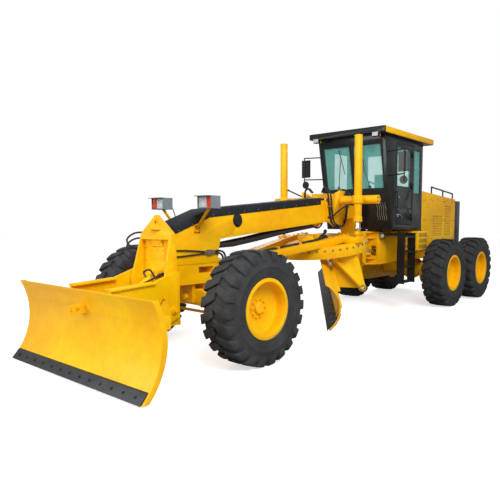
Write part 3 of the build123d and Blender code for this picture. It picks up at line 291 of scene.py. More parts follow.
YELLOW = painted("machine_yellow", rgb(250, 198, 0), rgb(240, 168, 0))
BLACK = painted("cab_black", rgb(32, 36, 38), rgb(24, 27, 29), 0.3, 0.35, 0.2, rgb(62, 62, 60))
PAD_BLACK = painted("grip_black", rgb(46, 49, 54), rgb(36, 39, 43), 0.75, 0, 0.3, rgb(84, 84, 84))
LAMP_GREY = painted("lamp_grey", rgb(128, 136, 142), rgb(112, 120, 127), 0.5, 0, 0)
print("paints:", YELLOW.name, BLACK.name, PAD_BLACK.name, LAMP_GREY.name)

# %% [markdown]
# ## Rubber, steel and glass
# Tyre rubber is a very dark, dull grey with a dusty bloom. Bare steel shows rolling marks and rubbed
# edges. Chromed rods are near mirrors. Glass is tinted and thin, so it is a see-through coat, not a lens.
# One function for each kind is enough, because its members differ only in tone, grain and shine.

# %% Rubber, steel and glass finishes
def rubber(name, light, dark, grain=130):
    finish = Finish(name)
    bloom = finish.noise(5, 5, 0.65)
    fine = finish.noise(grain, 3)
    colour = finish.node("ShaderNodeValToRGB", {"stops": [(0.35, dark), (0.7, light)]},
                         {"Fac": bloom * 0.7 + fine * 0.3})
    return finish.surface(Base_Color=colour, Roughness=bloom * 0.2 + 0.68,
                          Normal=finish.bump(fine, 0.0008, 0.5))


def metal(name, light, dark, gloss, stretch=(1, 1, 1), shine=1.0):
    finish = Finish(name)
    rolled = finish.noise(60, 4, 0.6, stretch)
    worn = finish.noise(7, 4, 0.65)
    colour = finish.node("ShaderNodeValToRGB", {"stops": [(0.3, dark), (0.72, light)]},
                         {"Fac": rolled * 0.4 + worn * 0.6})
    return finish.surface(Base_Color=colour, Roughness=rolled * 0.14 + worn * 0.12 + gloss,
                          Metallic=shine, Normal=finish.bump(rolled, 0.0004, 0.4))


TYRE_RUBBER = rubber("tyre_rubber", rgb(60, 61, 63), rgb(30, 31, 32))
HOSE_RUBBER = rubber("hose_rubber", rgb(40, 40, 42), rgb(22, 22, 24), 260)
SEAL_RUBBER = rubber("seal_rubber", rgb(28, 29, 30), rgb(18, 19, 20), 300)
EDGE_STEEL = metal("edge_steel", rgb(70, 72, 74), rgb(44, 46, 49), 0.42, (0.3, 0.3, 3), 0.55)
WORN_STEEL = metal("worn_steel", rgb(150, 152, 152), rgb(112, 114, 116), 0.3, (1, 1, 6), 0.8)
CHROME = metal("chrome", rgb(216, 218, 220), rgb(188, 190, 193), 0.08)
ZINC = metal("zinc", rgb(170, 168, 160), rgb(136, 134, 128), 0.3)
CAST_IRON = metal("cast_iron", rgb(70, 68, 66), rgb(46, 45, 44), 0.5, (1, 1, 1), 0.3)


def glazed(name, tint, share, gloss=0.04):
    """Thin tinted pane: mostly see-through, with its colour and shine laid over."""
    finish = Finish(name)
    haze = finish.noise(3, 4).between(0.35, 0.8)
    finish.material.surface_render_method = "BLENDED"
    return finish.surface(Base_Color=opaque(tint), Roughness=haze * 0.05 + gloss, Alpha=haze * 0.06 + share)


CAB_GLASS = glazed("cab_glass", rgb(150, 240, 232), 0.24)
LENS_CLEAR = glazed("lens_clear", rgb(226, 234, 236), 0.45, 0.08)
LENS_ORANGE = glazed("lens_orange", rgb(226, 66, 14), 0.92, 0.12)
LENS_RED = glazed("lens_red", rgb(186, 16, 12), 0.92, 0.12)
MIRROR = metal("mirror_glass", rgb(214, 220, 224), rgb(206, 212, 216), 0.0)


def woven(name, light, dark):
    """Seat cloth: two crossed waves over a soft colour."""
    finish = Finish(name)
    place = finish.place()
    warp, weft = (
        finish.node("ShaderNodeTexWave", {"bands_direction": way}, {"Vector": place, "Scale": 90}, out="Fac")
        for way in "XZ")
    thread = warp * 0.5 + weft * 0.5
    colour = finish.mixed(thread, opaque(dark), opaque(light))
    return finish.surface(Base_Color=colour, Roughness=thread * 0.1 + 0.8,
                          Normal=finish.bump(thread, 0.0008))


SEAT_CLOTH = woven("seat_cloth", rgb(58, 60, 64), rgb(34, 35, 38))

# %% [markdown]
# ## Plates with real edges
# A CAD solid has knife edges, and light never catches them. Flame-cut and welded plate has a small
# radius everywhere. Each node is copied, its loose triangles are welded and thinned, and its sharp
# edges are rolled over by a few millimetres. The copy then stands for the node.

# %% Welded copies of the CAD nodes
SAME_POINT, SAME_PLANE = 0.00002, math.radians(0.5)
BODY_NODES = frame["record"]["behaviour"]["bodies"]


def welded_copy(node):
    """A CAD node's mesh with its doubles merged and its flat triangles joined."""
    bm = bmesh.new()
    bm.from_mesh(frame["nodes"][node].data)
    bmesh.ops.remove_doubles(bm, verts=bm.verts, dist=SAME_POINT)
    bmesh.ops.dissolve_limit(bm, angle_limit=SAME_PLANE, verts=bm.verts, edges=bm.edges,
                             use_dissolve_boundaries=False)
    return bm


def body_of(node):
    return next(name for name, nodes in BODY_NODES.items() if node in nodes)


def softened(node, finish, width):
    """Stand a welded, soft-edged copy in for a CAD node."""
    bm = welded_copy(node)
    soften(bm, width, angle=38)
    piece(f"{node}_dressed", bm, finish, body_of(node), stands_for=[node], smooth=38)


print("bodies:", ", ".join(BODY_NODES))

# %% The finish of every CAD node
NODE_FINISH = {
    "hoses": HOSE_RUBBER, "cab_shell": BLACK, "cab_glass": CAB_GLASS, "cab_roof": YELLOW,
    "cab_fittings": SEAT_CLOTH, "ladder": BLACK, "mirrors": BLACK, "radiator_guard": BLACK,
    "hood_rail": BLACK, "headlamps": LAMP_GREY, "cutting_edge": EDGE_STEEL, "engine_block": CAST_IRON,
    "drawbar_ball": WORN_STEEL, "dozer_rod": CHROME, "artic_rod_left": CHROME,
    "artic_rod_right": CHROME, "door_left": BLACK, "door_right": BLACK,
    "door_glass_left": CAB_GLASS, "door_glass_right": CAB_GLASS,
}
for name, node in frame["nodes"].items():
    finish = TYRE_RUBBER if name.startswith("tyre") else NODE_FINISH.get(name, YELLOW)
    node.data.materials.clear()
    node.data.materials.append(finish)
print("finished nodes:", len(frame["nodes"]))

# %% Softened plates
SOFT_NODES = {
    "gooseneck": 0.006, "lift_saddle": 0.006, "dozer_mount": 0.006, "drawbar": 0.005, "circle": 0.004,
    "blade_carrier": 0.004, "front_axle": 0.006, "rear_frame": 0.005, "rear_hitch": 0.006,
    "tandem_left": 0.008, "tandem_right": 0.008, "hood": 0.01, "cab_shell": 0.005,
    "door_left": 0.003, "door_right": 0.003, "side_boxes": 0.008, "radiator_guard": 0.006,
    "lean_bracket_left": 0.004, "lean_bracket_right": 0.004, "knuckle_left": 0.003,
    "knuckle_right": 0.003, "lift_barrels": 0.003,
}
for name, width in SOFT_NODES.items():
    softened(name, NODE_FINISH.get(name, YELLOW), width)

# %% [markdown]
# ## Tyres
# A grader tyre has tall bars that run from the crown to the shoulder in a chevron, so that it bites
# forwards and sheds mud sideways. The casing is one turned profile. One bar is a small sheet laid
# over the crown, pushed down into a block and copied round the casing on both halves. Spin does the
# copying, so all bars are alike and one count sets their number.

# %% Tyre casing
TYRE_R, TYRE_HALF, RIM_SEAT = 0.662, 0.2225, 0.353
BAR_COUNT, BAR_HEIGHT = 22, 0.034
SHOULDER = 0.72


def casing(bm):
    groove = TYRE_R - BAR_HEIGHT
    half = TYRE_HALF
    right = [
        (RIM_SEAT + 0.001, half - 0.036), (RIM_SEAT + 0.014, half - 0.018), (RIM_SEAT + 0.022, half - 0.02),
        (RIM_SEAT + 0.05, half - 0.007), (0.43, half - 0.001), (0.47, half), (0.474, half + 0.003),
        (0.482, half + 0.003), (0.486, half - 0.001), (0.53, half - 0.006), (0.57, half - 0.016),
        (0.605, half - 0.034), (groove - 0.006, half - 0.06), (groove, half - 0.1), (groove + 0.002, 0.06),
    ]
    left = [(radius, -y) for radius, y in reversed(right)]
    inner = [(RIM_SEAT - 0.03, -half + 0.06), (RIM_SEAT - 0.03, half - 0.06)]
    return turned(bm, right + left + inner, 96)


# %% Tread bars
def tread_bar(bm):
    """One bar of the left half, at the top of the tyre."""
    sheet = bmesh.ops.create_grid(bm, x_segments=2, y_segments=7, size=1)["verts"]
    faces = list({face for vert in sheet for face in vert.link_faces})
    for vert in sheet:
        along, out = vert.co.x, (vert.co.y + 1) / 2
        crown = min(out / SHOULDER, 1)
        drop = max(out - SHOULDER, 0) / (1 - SHOULDER)
        width = 0.041 + 0.017 * crown
        sweep = 0.082 * crown ** 0.8 - 0.012 + 0.012 * drop
        radius = TYRE_R - 0.008 * crown ** 2 - 0.098 * drop ** 1.25
        across = 0.004 + (TYRE_HALF - 0.03) * crown + 0.024 * math.sin(drop * math.pi / 2)
        angle = (sweep + along * width * (1 - 0.2 * drop)) / TYRE_R
        vert.co = Vector((radius * math.sin(angle), across, radius * math.cos(angle)))
    swept = bmesh.ops.extrude_face_region(bm, geom=faces, use_keep_orig=True)["geom"]
    lower = [item for item in swept if isinstance(item, bmesh.types.BMVert)]
    for vert in lower:
        outward = Vector((vert.co.x, 0, vert.co.z)).normalized()
        tuck = 0.02 if vert.co.y > 0.19 else 0
        vert.co -= outward * (BAR_HEIGHT + 0.012) + Vector((0, tuck, 0))
    soften(bm, 0.005, 50, 1)


def tyre_mesh():
    """Casing with its bars, about the origin."""
    bars = bmesh.new()
    tread_bar(bars)
    bmesh.ops.recalc_face_normals(bars, faces=bars.faces)
    half_pitch = math.pi / BAR_COUNT
    other = bmesh.ops.duplicate(bars, geom=everything(bars))["geom"]
    other_verts = [item for item in other if isinstance(item, bmesh.types.BMVert)]
    bmesh.ops.scale(bars, vec=(1, -1, 1), verts=other_verts)
    bmesh.ops.rotate(bars, cent=(0, 0, 0), matrix=Matrix.Rotation(half_pitch, 3, "Y"), verts=other_verts)
    bmesh.ops.reverse_faces(bars, faces=[item for item in other if isinstance(item, bmesh.types.BMFace)])
    bmesh.ops.spin(bars, geom=everything(bars), cent=(0, 0, 0), axis=(0, 1, 0),
                   angle=2 * math.pi * (BAR_COUNT - 1) / BAR_COUNT, steps=BAR_COUNT - 1,
                   use_duplicate=True, use_merge=False)
    casing(bars)
    mesh = bpy.data.meshes.new("tyre_pattern")
    bars.to_mesh(mesh)
    bars.free()
    return mesh


TYRE_PATTERN = tyre_mesh()
WHEELS = [(row, side) for row in ("front", "mid", "rear") for side in SIDES]
print("tyre pattern:", len(TYRE_PATTERN.polygons), "faces")

# %% Six tyres
for row, side in WHEELS:
    node = f"tyre_{row}_{side}"
    bm = bmesh.new()
    bm.from_mesh(TYRE_PATTERN)
    if side == "right":
        flipped(bm)
    bmesh.ops.translate(bm, vec=centre(node), verts=bm.verts)
    piece(f"{node}_treaded", bm, TYRE_RUBBER, body_of(node), stands_for=[node], smooth=40)

# %% [markdown]
# ## Rims
# The rim is a rolled steel drum with a loose flange and a lock ring, welded to a dished disc that ten
# nuts hold on the hub. All of it is turned from one profile, and the nuts are set out on a circle.

# %% Rim profile and nuts
RIM_FLANGE, RIM_DRUM, DISC_Y, HUB_R = 0.352, 0.318, 0.03, 0.13
NUT_COUNT, NUT_CIRCLE = 10, 0.105
DRUM_HALF, SHORT_HUB = 0.2, 0.12


def rim_mesh(reach):
    """Drum, disc, hub and nuts about the origin, with the dish towards +Y."""
    bm = bmesh.new()
    half = DRUM_HALF
    profile = [
        (0.304, half - 0.008), (0.31, half), (0.345, half), (RIM_FLANGE, half - 0.004),
        (RIM_FLANGE, half - 0.012), (0.34, half - 0.02), (RIM_DRUM, half - 0.034),
        (RIM_DRUM, -half + 0.034),
        (0.34, -half + 0.02), (RIM_FLANGE, -half + 0.012), (RIM_FLANGE, -half), (0.304, -half),
        (0.304, -0.002), (0.28, DISC_Y - 0.032), (HUB_R, DISC_Y - 0.03), (HUB_R, -reach),
        (HUB_R - 0.03, -reach), (HUB_R - 0.03, DISC_Y - 0.04), (0.03, DISC_Y - 0.04), (0.03, DISC_Y + 0.05),
        (0.058, DISC_Y + 0.05), (0.066, DISC_Y + 0.042), (0.07, DISC_Y + 0.01), (0.122, DISC_Y + 0.008),
        (HUB_R, DISC_Y), (0.16, DISC_Y - 0.006), (0.235, DISC_Y + 0.002), (0.27, DISC_Y + 0.02),
        (0.29, DISC_Y + 0.024), (0.3, DISC_Y + 0.03), (0.302, half - 0.07), (0.3, half - 0.064),
        (0.3, half - 0.052), (0.303, half - 0.046),
    ]
    turned(bm, profile, 72)
    bar(bm, (0, DISC_Y - 0.02, 0), (0, DISC_Y + 0.046, 0), 0.034, 0.03, 24)
    for step in range(NUT_COUNT):
        turn = Matrix.Rotation(2 * math.pi * step / NUT_COUNT, 3, "Y")
        seat = turn @ Vector((NUT_CIRCLE, DISC_Y, 0))
        for length, radius, sides in ((0.012, 0.016, 16), (0.026, 0.0125, 6), (0.038, 0.007, 10)):
            bar(bm, seat, seat + Vector((0, length, 0)), radius, sides=sides)
    return bm


for row, side in WHEELS:
    node = f"rim_{row}_{side}"
    low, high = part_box(node)
    middle = centre(f"tyre_{row}_{side}")
    inward = middle.y - low[1] if side == "left" else high[1] - middle.y
    bm = rim_mesh(inward if inward > DRUM_HALF else SHORT_HUB)
    if side == "right":
        flipped(bm)
    bmesh.ops.translate(bm, vec=middle, verts=bm.verts)
    piece(f"{node}_turned", bm, YELLOW, body_of(node), stands_for=[node])

# %% [markdown]
# ## Bolts and bent tube
# Two things turn up everywhere on a machine: hex bolts on washers, and hose or pipe bent through a few
# points. A bolt is two short bars. A tube is a ring that is extruded and turned a little at each step.

# %% Bolts
def bolt(bm, seat, out, radius=0.012):
    """Hex head on a washer, standing on a seat and pointing out."""
    seat, out = Vector(seat), Vector(out).normalized()
    bar(bm, seat - out * 0.001, seat + out * 0.003, radius * 1.5, sides=16)
    bar(bm, seat, seat + out * (0.003 + radius * 0.8), radius, sides=6)


def bolt_row(bm, first, last, count, out, radius=0.012):
    for step in range(count):
        bolt(bm, Vector(first).lerp(Vector(last), step / max(count - 1, 1)), out, radius)


def bolt_ring(bm, middle, out, ring, count, radius=0.012):
    """Bolts set out on a circle about an axis."""
    middle, out = Vector(middle), Vector(out).normalized()
    spoke = out.orthogonal().normalized() * ring
    for step in range(count):
        turn = Matrix.Rotation(2 * math.pi * (step + 0.5) / count, 3, out)
        bolt(bm, middle + turn @ spoke, out, radius)


# %% Bent tubes
def smooth_line(points, steps):
    """Points of a line that passes through the given ones without a corner."""
    knots = [Vector(point) for point in points]
    knots = [knots[0] * 2 - knots[1]] + knots + [knots[-1] * 2 - knots[-2]]
    line = []
    for a, b, c, d in zip(knots, knots[1:], knots[2:], knots[3:]):
        for step in range(steps):
            t = step / steps
            line.append(0.5 * (2 * b + (c - a) * t + (2 * a - 5 * b + 4 * c - d) * t ** 2
                               + (3 * b - a - 3 * c + d) * t ** 3))
    return line + [knots[-2]]


TUBE_SIDES = 12


def tube(bm, points, radius, steps=6):
    """Hose or pipe bent smoothly through points."""
    line = smooth_line(points, steps)
    heading, turn, stations = Vector((0, 0, 1)), Matrix.Identity(3), []
    for index, place in enumerate(line):
        ahead = (line[min(index + 1, len(line) - 1)] - line[max(index - 1, 0)]).normalized()
        turn = heading.rotation_difference(ahead).to_matrix() @ turn
        heading = ahead
        stations.append(Matrix.Translation(place) @ turn.to_4x4())
    ring = bmesh.ops.create_circle(bm, cap_ends=True, segments=TUBE_SIDES, radius=radius,
                                   matrix=stations[0])["verts"]
    edges = list({edge for vert in ring for edge in vert.link_edges})
    for before, after in zip(stations, stations[1:]):
        grown = bmesh.ops.extrude_edge_only(bm, edges=edges)["geom"]
        ring = [item for item in grown if isinstance(item, bmesh.types.BMVert)]
        edges = [item for item in grown if isinstance(item, bmesh.types.BMEdge)
                 and item.verts[0] in ring and item.verts[1] in ring]
        bmesh.ops.transform(bm, matrix=after @ before.inverted(), verts=ring)
    bmesh.ops.contextual_create(bm, geom=edges)


# %% [markdown]
# ## Gooseneck
# The main beam is a welded box. A wear-resistant black cover runs along its top so that the driver isn't
# dazzled. Side plates double the head, where the front axle and the tower pull, and a rubber cap closes
# the hole through which the hoses are reached. All of these are thin and lie on the beam, so a plate cut
# to an outline and a small turned disc are enough.

# %% Beam cover and its screws
BEAM_KNEE_X, BEAM_KNEE_Z, BEAM_SLOPE = 3.01, 1.755, 0.0972
COVER_SIDE = 0.1833


def beam_top(x):
    """Height of the gooseneck's top, which falls towards the knee."""
    return BEAM_KNEE_Z + (BEAM_KNEE_X - x) * BEAM_SLOPE


softened("beam_cover", PAD_BLACK, 0.004)


def cover_screws(bm):
    for step in range(9):
        x = 0.72 + step * 0.28
        bolt(bm, (x, COVER_SIDE, beam_top(x) - 0.03), (0, 1, 0), 0.007)
    for x, z in ((3.12, 1.68), (3.3, 1.606), (3.5, 1.53)):
        bolt(bm, (x, COVER_SIDE, z), (0, 1, 0), 0.007)


both_sides("cover_screws", cover_screws, ZINC, "front_frame")

# %% Head plates, service caps and saddle pads
BEAM_SIDE, CAP_X, CAP_Z = 0.1752, 2.525, 1.66
PAD_HALF, PAD_THICK = 0.165, 0.034
HEAD_OUTLINE = [(3.625, 1.12), (3.625, 1.43), (3.32, 1.45), (2.56, 1.725), (2.5, 1.69), (2.6, 1.5),
                (2.83, 1.43), (2.87, 1.28), (2.88, 1.12)]
bm = bmesh.new()
plate(bm, [(x, BEAM_SIDE, z) for x, z in HEAD_OUTLINE], Vector((0, 0.008, 0)))
mirrored(bm)
soften(bm, 0.003)
piece("head_plates", bm, YELLOW, "front_frame")

bm = bmesh.new()
for side in SIDES.values():
    made = turned(bm, [(0.001, 0.0), (0.088, 0.0), (0.09, 0.006), (0.084, 0.012), (0.072, 0.012),
                       (0.066, 0.026), (0.058, 0.032), (0.001, 0.034)], 40)
    bmesh.ops.scale(bm, vec=(1, side, 1), verts=made)
    bmesh.ops.translate(bm, vec=(CAP_X, side * BEAM_SIDE, CAP_Z), verts=made)
    bolt_ring(bm, (CAP_X, side * 0.187, CAP_Z), (0, side, 0), 0.078, 6, 0.005)
piece("service_caps", bm, SEAL_RUBBER, "front_frame")

bm = bmesh.new()
for front, back in ((0.575, 0.418), (0.232, -0.06)):
    outline = [(front, -PAD_HALF, beam_top(front) + 0.0005), (back, -PAD_HALF, beam_top(back) + 0.0005),
               (back, -PAD_HALF, beam_top(back) + PAD_THICK),
               (front - 0.02, -PAD_HALF, beam_top(front) + PAD_THICK)]
    plate(bm, outline, Vector((0, 2 * PAD_HALF, 0)))
soften(bm, 0.004)
piece("saddle_pads", bm, PAD_BLACK, "front_frame")

# %% [markdown]
# ## Hydraulic lines at the head
# Two thin lines come round from the tower to a junction on the head, and two thicker hoses go on from
# there, down to the axle. A curve with a bevel would do as well, but a ring extruded through a few points
# gives a mesh at once, and its points are easy to move.

# %% Head lines and their junction
UPPER_Z, LOWER_Z = 1.297, 1.225
bm = bmesh.new()
for first, middle, last in ((UPPER_Z, 1.285, 1.268), (LOWER_Z, 1.236, 1.246)):
    tube(bm, [(3.63, 0.196, first), (3.5, 0.2, first), (3.3, 0.2, middle), (3.12, 0.2, last)], 0.009)
tube(bm, [(2.97, 0.2, 1.268), (2.87, 0.205, 1.27), (2.8, 0.21, 1.235), (2.775, 0.205, 1.14),
          (2.8, 0.19, 1.04), (2.84, 0.15, 1.0)], 0.013)
tube(bm, [(2.97, 0.2, 1.243), (2.89, 0.205, 1.243), (2.83, 0.21, 1.2), (2.815, 0.2, 1.1),
          (2.84, 0.17, 1.05)], 0.013)
piece("head_lines", bm, HOSE_RUBBER, "front_frame")

bm = bmesh.new()
block(bm, (3.005, 0.183, 1.225), (3.085, 0.222, 1.29))
for z in (1.268, 1.245):
    bar(bm, (3.08, 0.2, z), (3.13, 0.2, z), 0.014, sides=6)
    bar(bm, (2.955, 0.2, z), (3.01, 0.2, z), 0.016, sides=6)
for z in (UPPER_Z, LOWER_Z):
    bar(bm, (3.58, 0.198, z), (3.61, 0.198, z), 0.014, sides=6)
bolt(bm, (3.045, 0.222, 1.257), (0, 1, 0), 0.008)
soften(bm, 0.0015, 50, 1)
piece("head_fittings", bm, ZINC, "front_frame")

# %% [markdown]
# ## Tower and front blade
# The front blade hangs on a tower bolted to the nose. The bolts go through the tower's back plate. The
# blade is a rolled sheet with a hardened edge that plough bolts hold, so that it can be renewed. A row of
# bolts is set out between two points, so that one number changes how many there are.

# %% Tower bolts and cylinder fittings
TOWER_BACK = 3.67
both_sides("tower_bolts", lambda bm: bolt_row(bm, (TOWER_BACK, 0.228, 0.62), (TOWER_BACK, 0.228, 1.34), 6,
                                              (1, 0, 0), 0.013), YELLOW, "front_frame")
CYLINDER_TOP, CYLINDER_EYE = Vector((3.735, 0, 1.01)), Vector((4.38, 0, 0.56))


def by_cylinder(share, ahead=0.0, up=0.0):
    """A point at a share of the front cylinder's length, moved ahead and up."""
    return CYLINDER_TOP.lerp(CYLINDER_EYE, share) + Vector((ahead, 0, up))


bm = bmesh.new()
bar(bm, by_cylinder(0.575), by_cylinder(0.618), 0.057, sides=32)
bar(bm, by_cylinder(0.12, 0.03, 0.03), by_cylinder(0.12, 0.06, 0.08), 0.014, sides=6)
bar(bm, by_cylinder(0.55, 0.03, 0.03), by_cylinder(0.55, 0.055, 0.075), 0.014, sides=6)
for side in SIDES.values():
    bar(bm, CYLINDER_TOP + Vector((0, side * 0.055, 0)), CYLINDER_TOP + Vector((0, side * 0.105, 0)), 0.026)
soften(bm, 0.002, 50, 1)
piece("dozer_cylinder_trim", bm, WORN_STEEL, "front_frame")

bm = bmesh.new()
for share, ahead, out in ((0.12, 0.06, 0.05), (0.55, 0.055, 0.075)):
    port = by_cylinder(share, ahead, 0.078)
    tube(bm, [port, port + Vector((0.0, 0.01, 0.03)), port + Vector((-0.05, out, 0.045)),
              (3.80, out + 0.06, 1.0), (3.70, out + 0.06, 1.03), (3.672, out + 0.06, 1.03)], 0.011)
piece("dozer_cylinder_hoses", bm, HOSE_RUBBER, "front_frame")

# %% Cutting edge and arm pins of the front blade
EDGE_BOLT_X, EDGE_BOLT_Z, EDGE_BOLT_Y = 4.7995, 0.0765, 1.17
ARM_PIN_X, ARM_PIN_Z = 3.77, 0.64
softened("dozer_edge", EDGE_STEEL, 0.003)
bm = bmesh.new()
bolt_row(bm, (EDGE_BOLT_X, -EDGE_BOLT_Y, EDGE_BOLT_Z), (EDGE_BOLT_X, EDGE_BOLT_Y, EDGE_BOLT_Z), 13,
         (0.786, 0, 0.618), 0.012)
piece("front_edge_bolts", bm, EDGE_STEEL, "dozer_blade")

softened("dozer_blade", YELLOW, 0.004)
bm = bmesh.new()
for side in SIDES.values():
    bolt(bm, (ARM_PIN_X, side * 0.433, ARM_PIN_Z), (0, side, 0), 0.026)
    bar(bm, (ARM_PIN_X, side * 0.41, ARM_PIN_Z), (ARM_PIN_X, side * 0.43, ARM_PIN_Z), 0.048)
    bolt(bm, (3.955, side * 0.411, 0.62), (0, side, 0), 0.018)
piece("front_arm_nuts", bm, YELLOW, "dozer_blade")

# %% [markdown]
# ## Work lamps
# Each lamp is a moulded grey housing with a hooded front, on a yellow stalk. A wide clear lens covers a
# bright reflector, and an amber lens on the outer side is the indicator. Housings and stalks are one CAD
# node: a plane cuts copies of it in two, which keeps the shapes true and gives each part its finish.

# %% Lamp housings and stalks
def cut_away(node, spot, keep):
    """The part of a node's mesh on the keep side of a plane through spot, closed where it was cut."""
    bm = welded_copy(node)
    cut = bmesh.ops.bisect_plane(bm, geom=everything(bm), plane_co=spot, plane_no=keep,
                                 clear_inner=True)["geom_cut"]
    bmesh.ops.holes_fill(bm, edges=[item for item in cut if isinstance(item, bmesh.types.BMEdge)])
    bmesh.ops.recalc_face_normals(bm, faces=bm.faces)
    return bm


LAMP_LOW, LAMP_HIGH = 1.795, 1.945
bm = cut_away("headlamps", (0, 0, LAMP_LOW), (0, 0, 1))
soften(bm, 0.004)
piece("lamp_housings", bm, LAMP_GREY, "front_frame", stands_for=["headlamps"])
bm = cut_away("headlamps", (0, 0, LAMP_LOW), (0, 0, -1))
soften(bm, 0.002)
for side in SIDES.values():
    bolt_row(bm, (3.215, side * 0.1993, 1.53), (3.255, side * 0.1993, 1.53), 2, (0, side, 0), 0.008)
piece("lamp_stalks", bm, YELLOW, "front_frame")

# %% Lenses and reflectors
LENS_FACE, REFLECTOR_Z = 3.328, 1.87


def lens(bm, inner, outer):
    """Pane with moulded ribs between two distances from the machine's middle."""
    low, high, rib_x = LAMP_LOW + 0.012, LAMP_HIGH - 0.012, LENS_FACE + 0.001
    block(bm, (LENS_FACE - 0.01, inner, low), (LENS_FACE, outer, high))
    for step in range(1, 6):
        y = inner + (outer - inner) * step / 6
        bar(bm, (rib_x, y, low + 0.008), (rib_x, y, high - 0.008), 0.003, sides=8)
    for z in (LAMP_LOW + 0.06, LAMP_LOW + 0.1):
        bar(bm, (rib_x, inner + 0.006, z), (rib_x, outer - 0.006, z), 0.0025, sides=8)


def reflectors(bm):
    for y, radius in ((0.41, 0.058), (0.523, 0.036)):
        bowl = turned(bm, [(0.001, -0.016), (radius * 0.5, -0.013), (radius * 0.8, -0.006),
                           (radius, 0.006), (radius, 0.009), (radius * 0.78, -0.001),
                           (radius * 0.4, -0.008), (0.001, -0.01)], 32)
        forwards = Matrix.Rotation(math.radians(-90), 3, "Z")
        bmesh.ops.rotate(bm, cent=(0, 0, 0), matrix=forwards, verts=bowl)
        bmesh.ops.translate(bm, vec=(3.305, y, REFLECTOR_Z), verts=bowl)
        ball(bm, (3.303, y, REFLECTOR_Z), radius * 0.25)


both_sides("lamp_reflectors", reflectors, MIRROR, "front_frame")
both_sides("lamp_lenses", lambda bm: lens(bm, 0.342, 0.476), LENS_CLEAR, "front_frame")
both_sides("indicator_lenses", lambda bm: lens(bm, 0.486, 0.558), LENS_ORANGE, "front_frame")


def lamp_cables(bm):
    tube(bm, [(3.2, 0.42, 1.84), (3.16, 0.38, 1.82), (3.17, 0.3, 1.7), (3.2, 0.21, 1.6),
              (3.19, 0.187, 1.5)], 0.006)
    bar(bm, (3.186, 0.42, 1.84), (3.2, 0.42, 1.84), 0.012)


both_sides("lamp_cables", lamp_cables, HOSE_RUBBER, "front_frame")

# %% Tower panel and side hoses
PANEL_BACK, PANEL_FACE, TOWER_TOP = 3.668, 3.676, 1.545
PANEL_BOLTS = 0.11
bm = bmesh.new()
block(bm, (PANEL_BACK, -0.13, 1.06), (PANEL_FACE, 0.13, 1.34))
block(bm, (PANEL_BACK, -0.1, 1.345), (3.684, 0.1, 1.36))
plate(bm, [(3.67, -0.14, TOWER_TOP), (3.67, 0.14, TOWER_TOP), (3.74, 0.05, TOWER_TOP),
           (3.74, -0.05, TOWER_TOP)], Vector((0, 0, 0.012)))
for z in (1.09, 1.31):
    bolt_row(bm, (PANEL_FACE, -PANEL_BOLTS, z), (PANEL_FACE, PANEL_BOLTS, z), 3, (1, 0, 0), 0.009)
soften(bm, 0.002)
piece("tower_panel", bm, YELLOW, "front_frame")

bm = bmesh.new()
for drop in (0, 0.07):
    tube(bm, [(3.5, -0.17, 1.45 - drop), (3.56, -0.3, 1.5 - drop), (3.68, -0.44, 1.5 - drop),
              (3.78, -0.47, 1.42 - drop), (3.74, -0.43, 1.33 - drop), (3.6, -0.33, 1.3 - drop),
              (3.5, -0.17, 1.28 - drop)], 0.011)
piece("tower_side_hoses", bm, HOSE_RUBBER, "front_frame")

# %% [markdown]
# ## Saddle and blade-lift cylinders
# The saddle straddles the beam and holds the two lift cylinders in trunnions. Hoses loop down each cheek
# so that they can follow when the cylinders swing a little. Each loop is drawn once, its neighbour is the
# same line moved over, and the mirror adds the other side.

# %% Saddle bolts and hose loops
CHEEK_SIDE, TRUNNION = 0.205, Vector((0.3, 1.05, 2.0))


def saddle_bolts(bm):
    for x, z in ((0.5, 2.0), (0.46, 1.72), (0.24, 1.59), (0.0, 1.66), (-0.06, 1.98), (0.22, 2.0),
                 (0.22, 1.8)):
        bolt(bm, (x, CHEEK_SIDE, z), (0, 1, 0), 0.016)
    for step in range(4):
        angle = math.pi * (0.25 + step / 2)
        seat = TRUNNION + 0.045 * Vector((math.cos(angle), 0, math.sin(angle)))
        bolt(bm, seat, (0, 1, 0), 0.009)
    bar(bm, TRUNNION - Vector((0, 0.001, 0)), TRUNNION - Vector((0, 0.0005, 0)), 0.03)


both_sides("saddle_bolts", saddle_bolts, WORN_STEEL, "front_frame")


def saddle_hoses(bm):
    for shift, out in ((0, 0.232), (0.03, 0.262)):
        tube(bm, [(0.5 - shift, 0.1, 2.13), (0.53 - shift, 0.17, 2.2), (0.52 - shift, out, 2.13),
                  (0.47 - shift, out, 1.9), (0.42 - shift, out, 1.68), (0.29, out, 1.57 + shift),
                  (0.12, out, 1.55 + shift), (-0.01 + shift, out, 1.68), (-0.06 + shift, out, 1.95),
                  (-0.07 + shift, out, 2.12), (-0.06 + shift, 0.16, 2.2), (-0.04 + shift, 0.1, 2.13)],
             0.014)
    tube(bm, [(0.42, 0.235, 1.68), (0.46, 0.35, 1.78), (0.4, 0.5, 1.9), (0.36, 0.62, 1.92),
              (0.37, 0.7, 1.86)], 0.012)
    tube(bm, [(0.31, 0.235, 2.0), (0.28, 0.3, 2.1), (0.24, 0.5, 2.09), (0.3, 0.66, 2.16),
              (0.37, 0.72, 2.2)], 0.012)


both_sides("saddle_hoses", saddle_hoses, HOSE_RUBBER, "front_frame")


def saddle_clips(bm):
    for x, z in ((0.47, 1.9), (0.2, 1.556), (-0.04, 1.9)):
        block(bm, (x - 0.02, CHEEK_SIDE, z - 0.012), (x + 0.02, 0.285, z + 0.012))
    for z in (1.86, 2.2):
        bar(bm, (0.375, 0.71, z), (0.375, 0.735, z), 0.018, sides=6)


both_sides("saddle_clips", saddle_clips, ZINC, "front_frame")

# %% Lift cylinder trim
LIFT_X, LIFT_Y, GLAND_Z = 0.44, 0.76, 1.6525


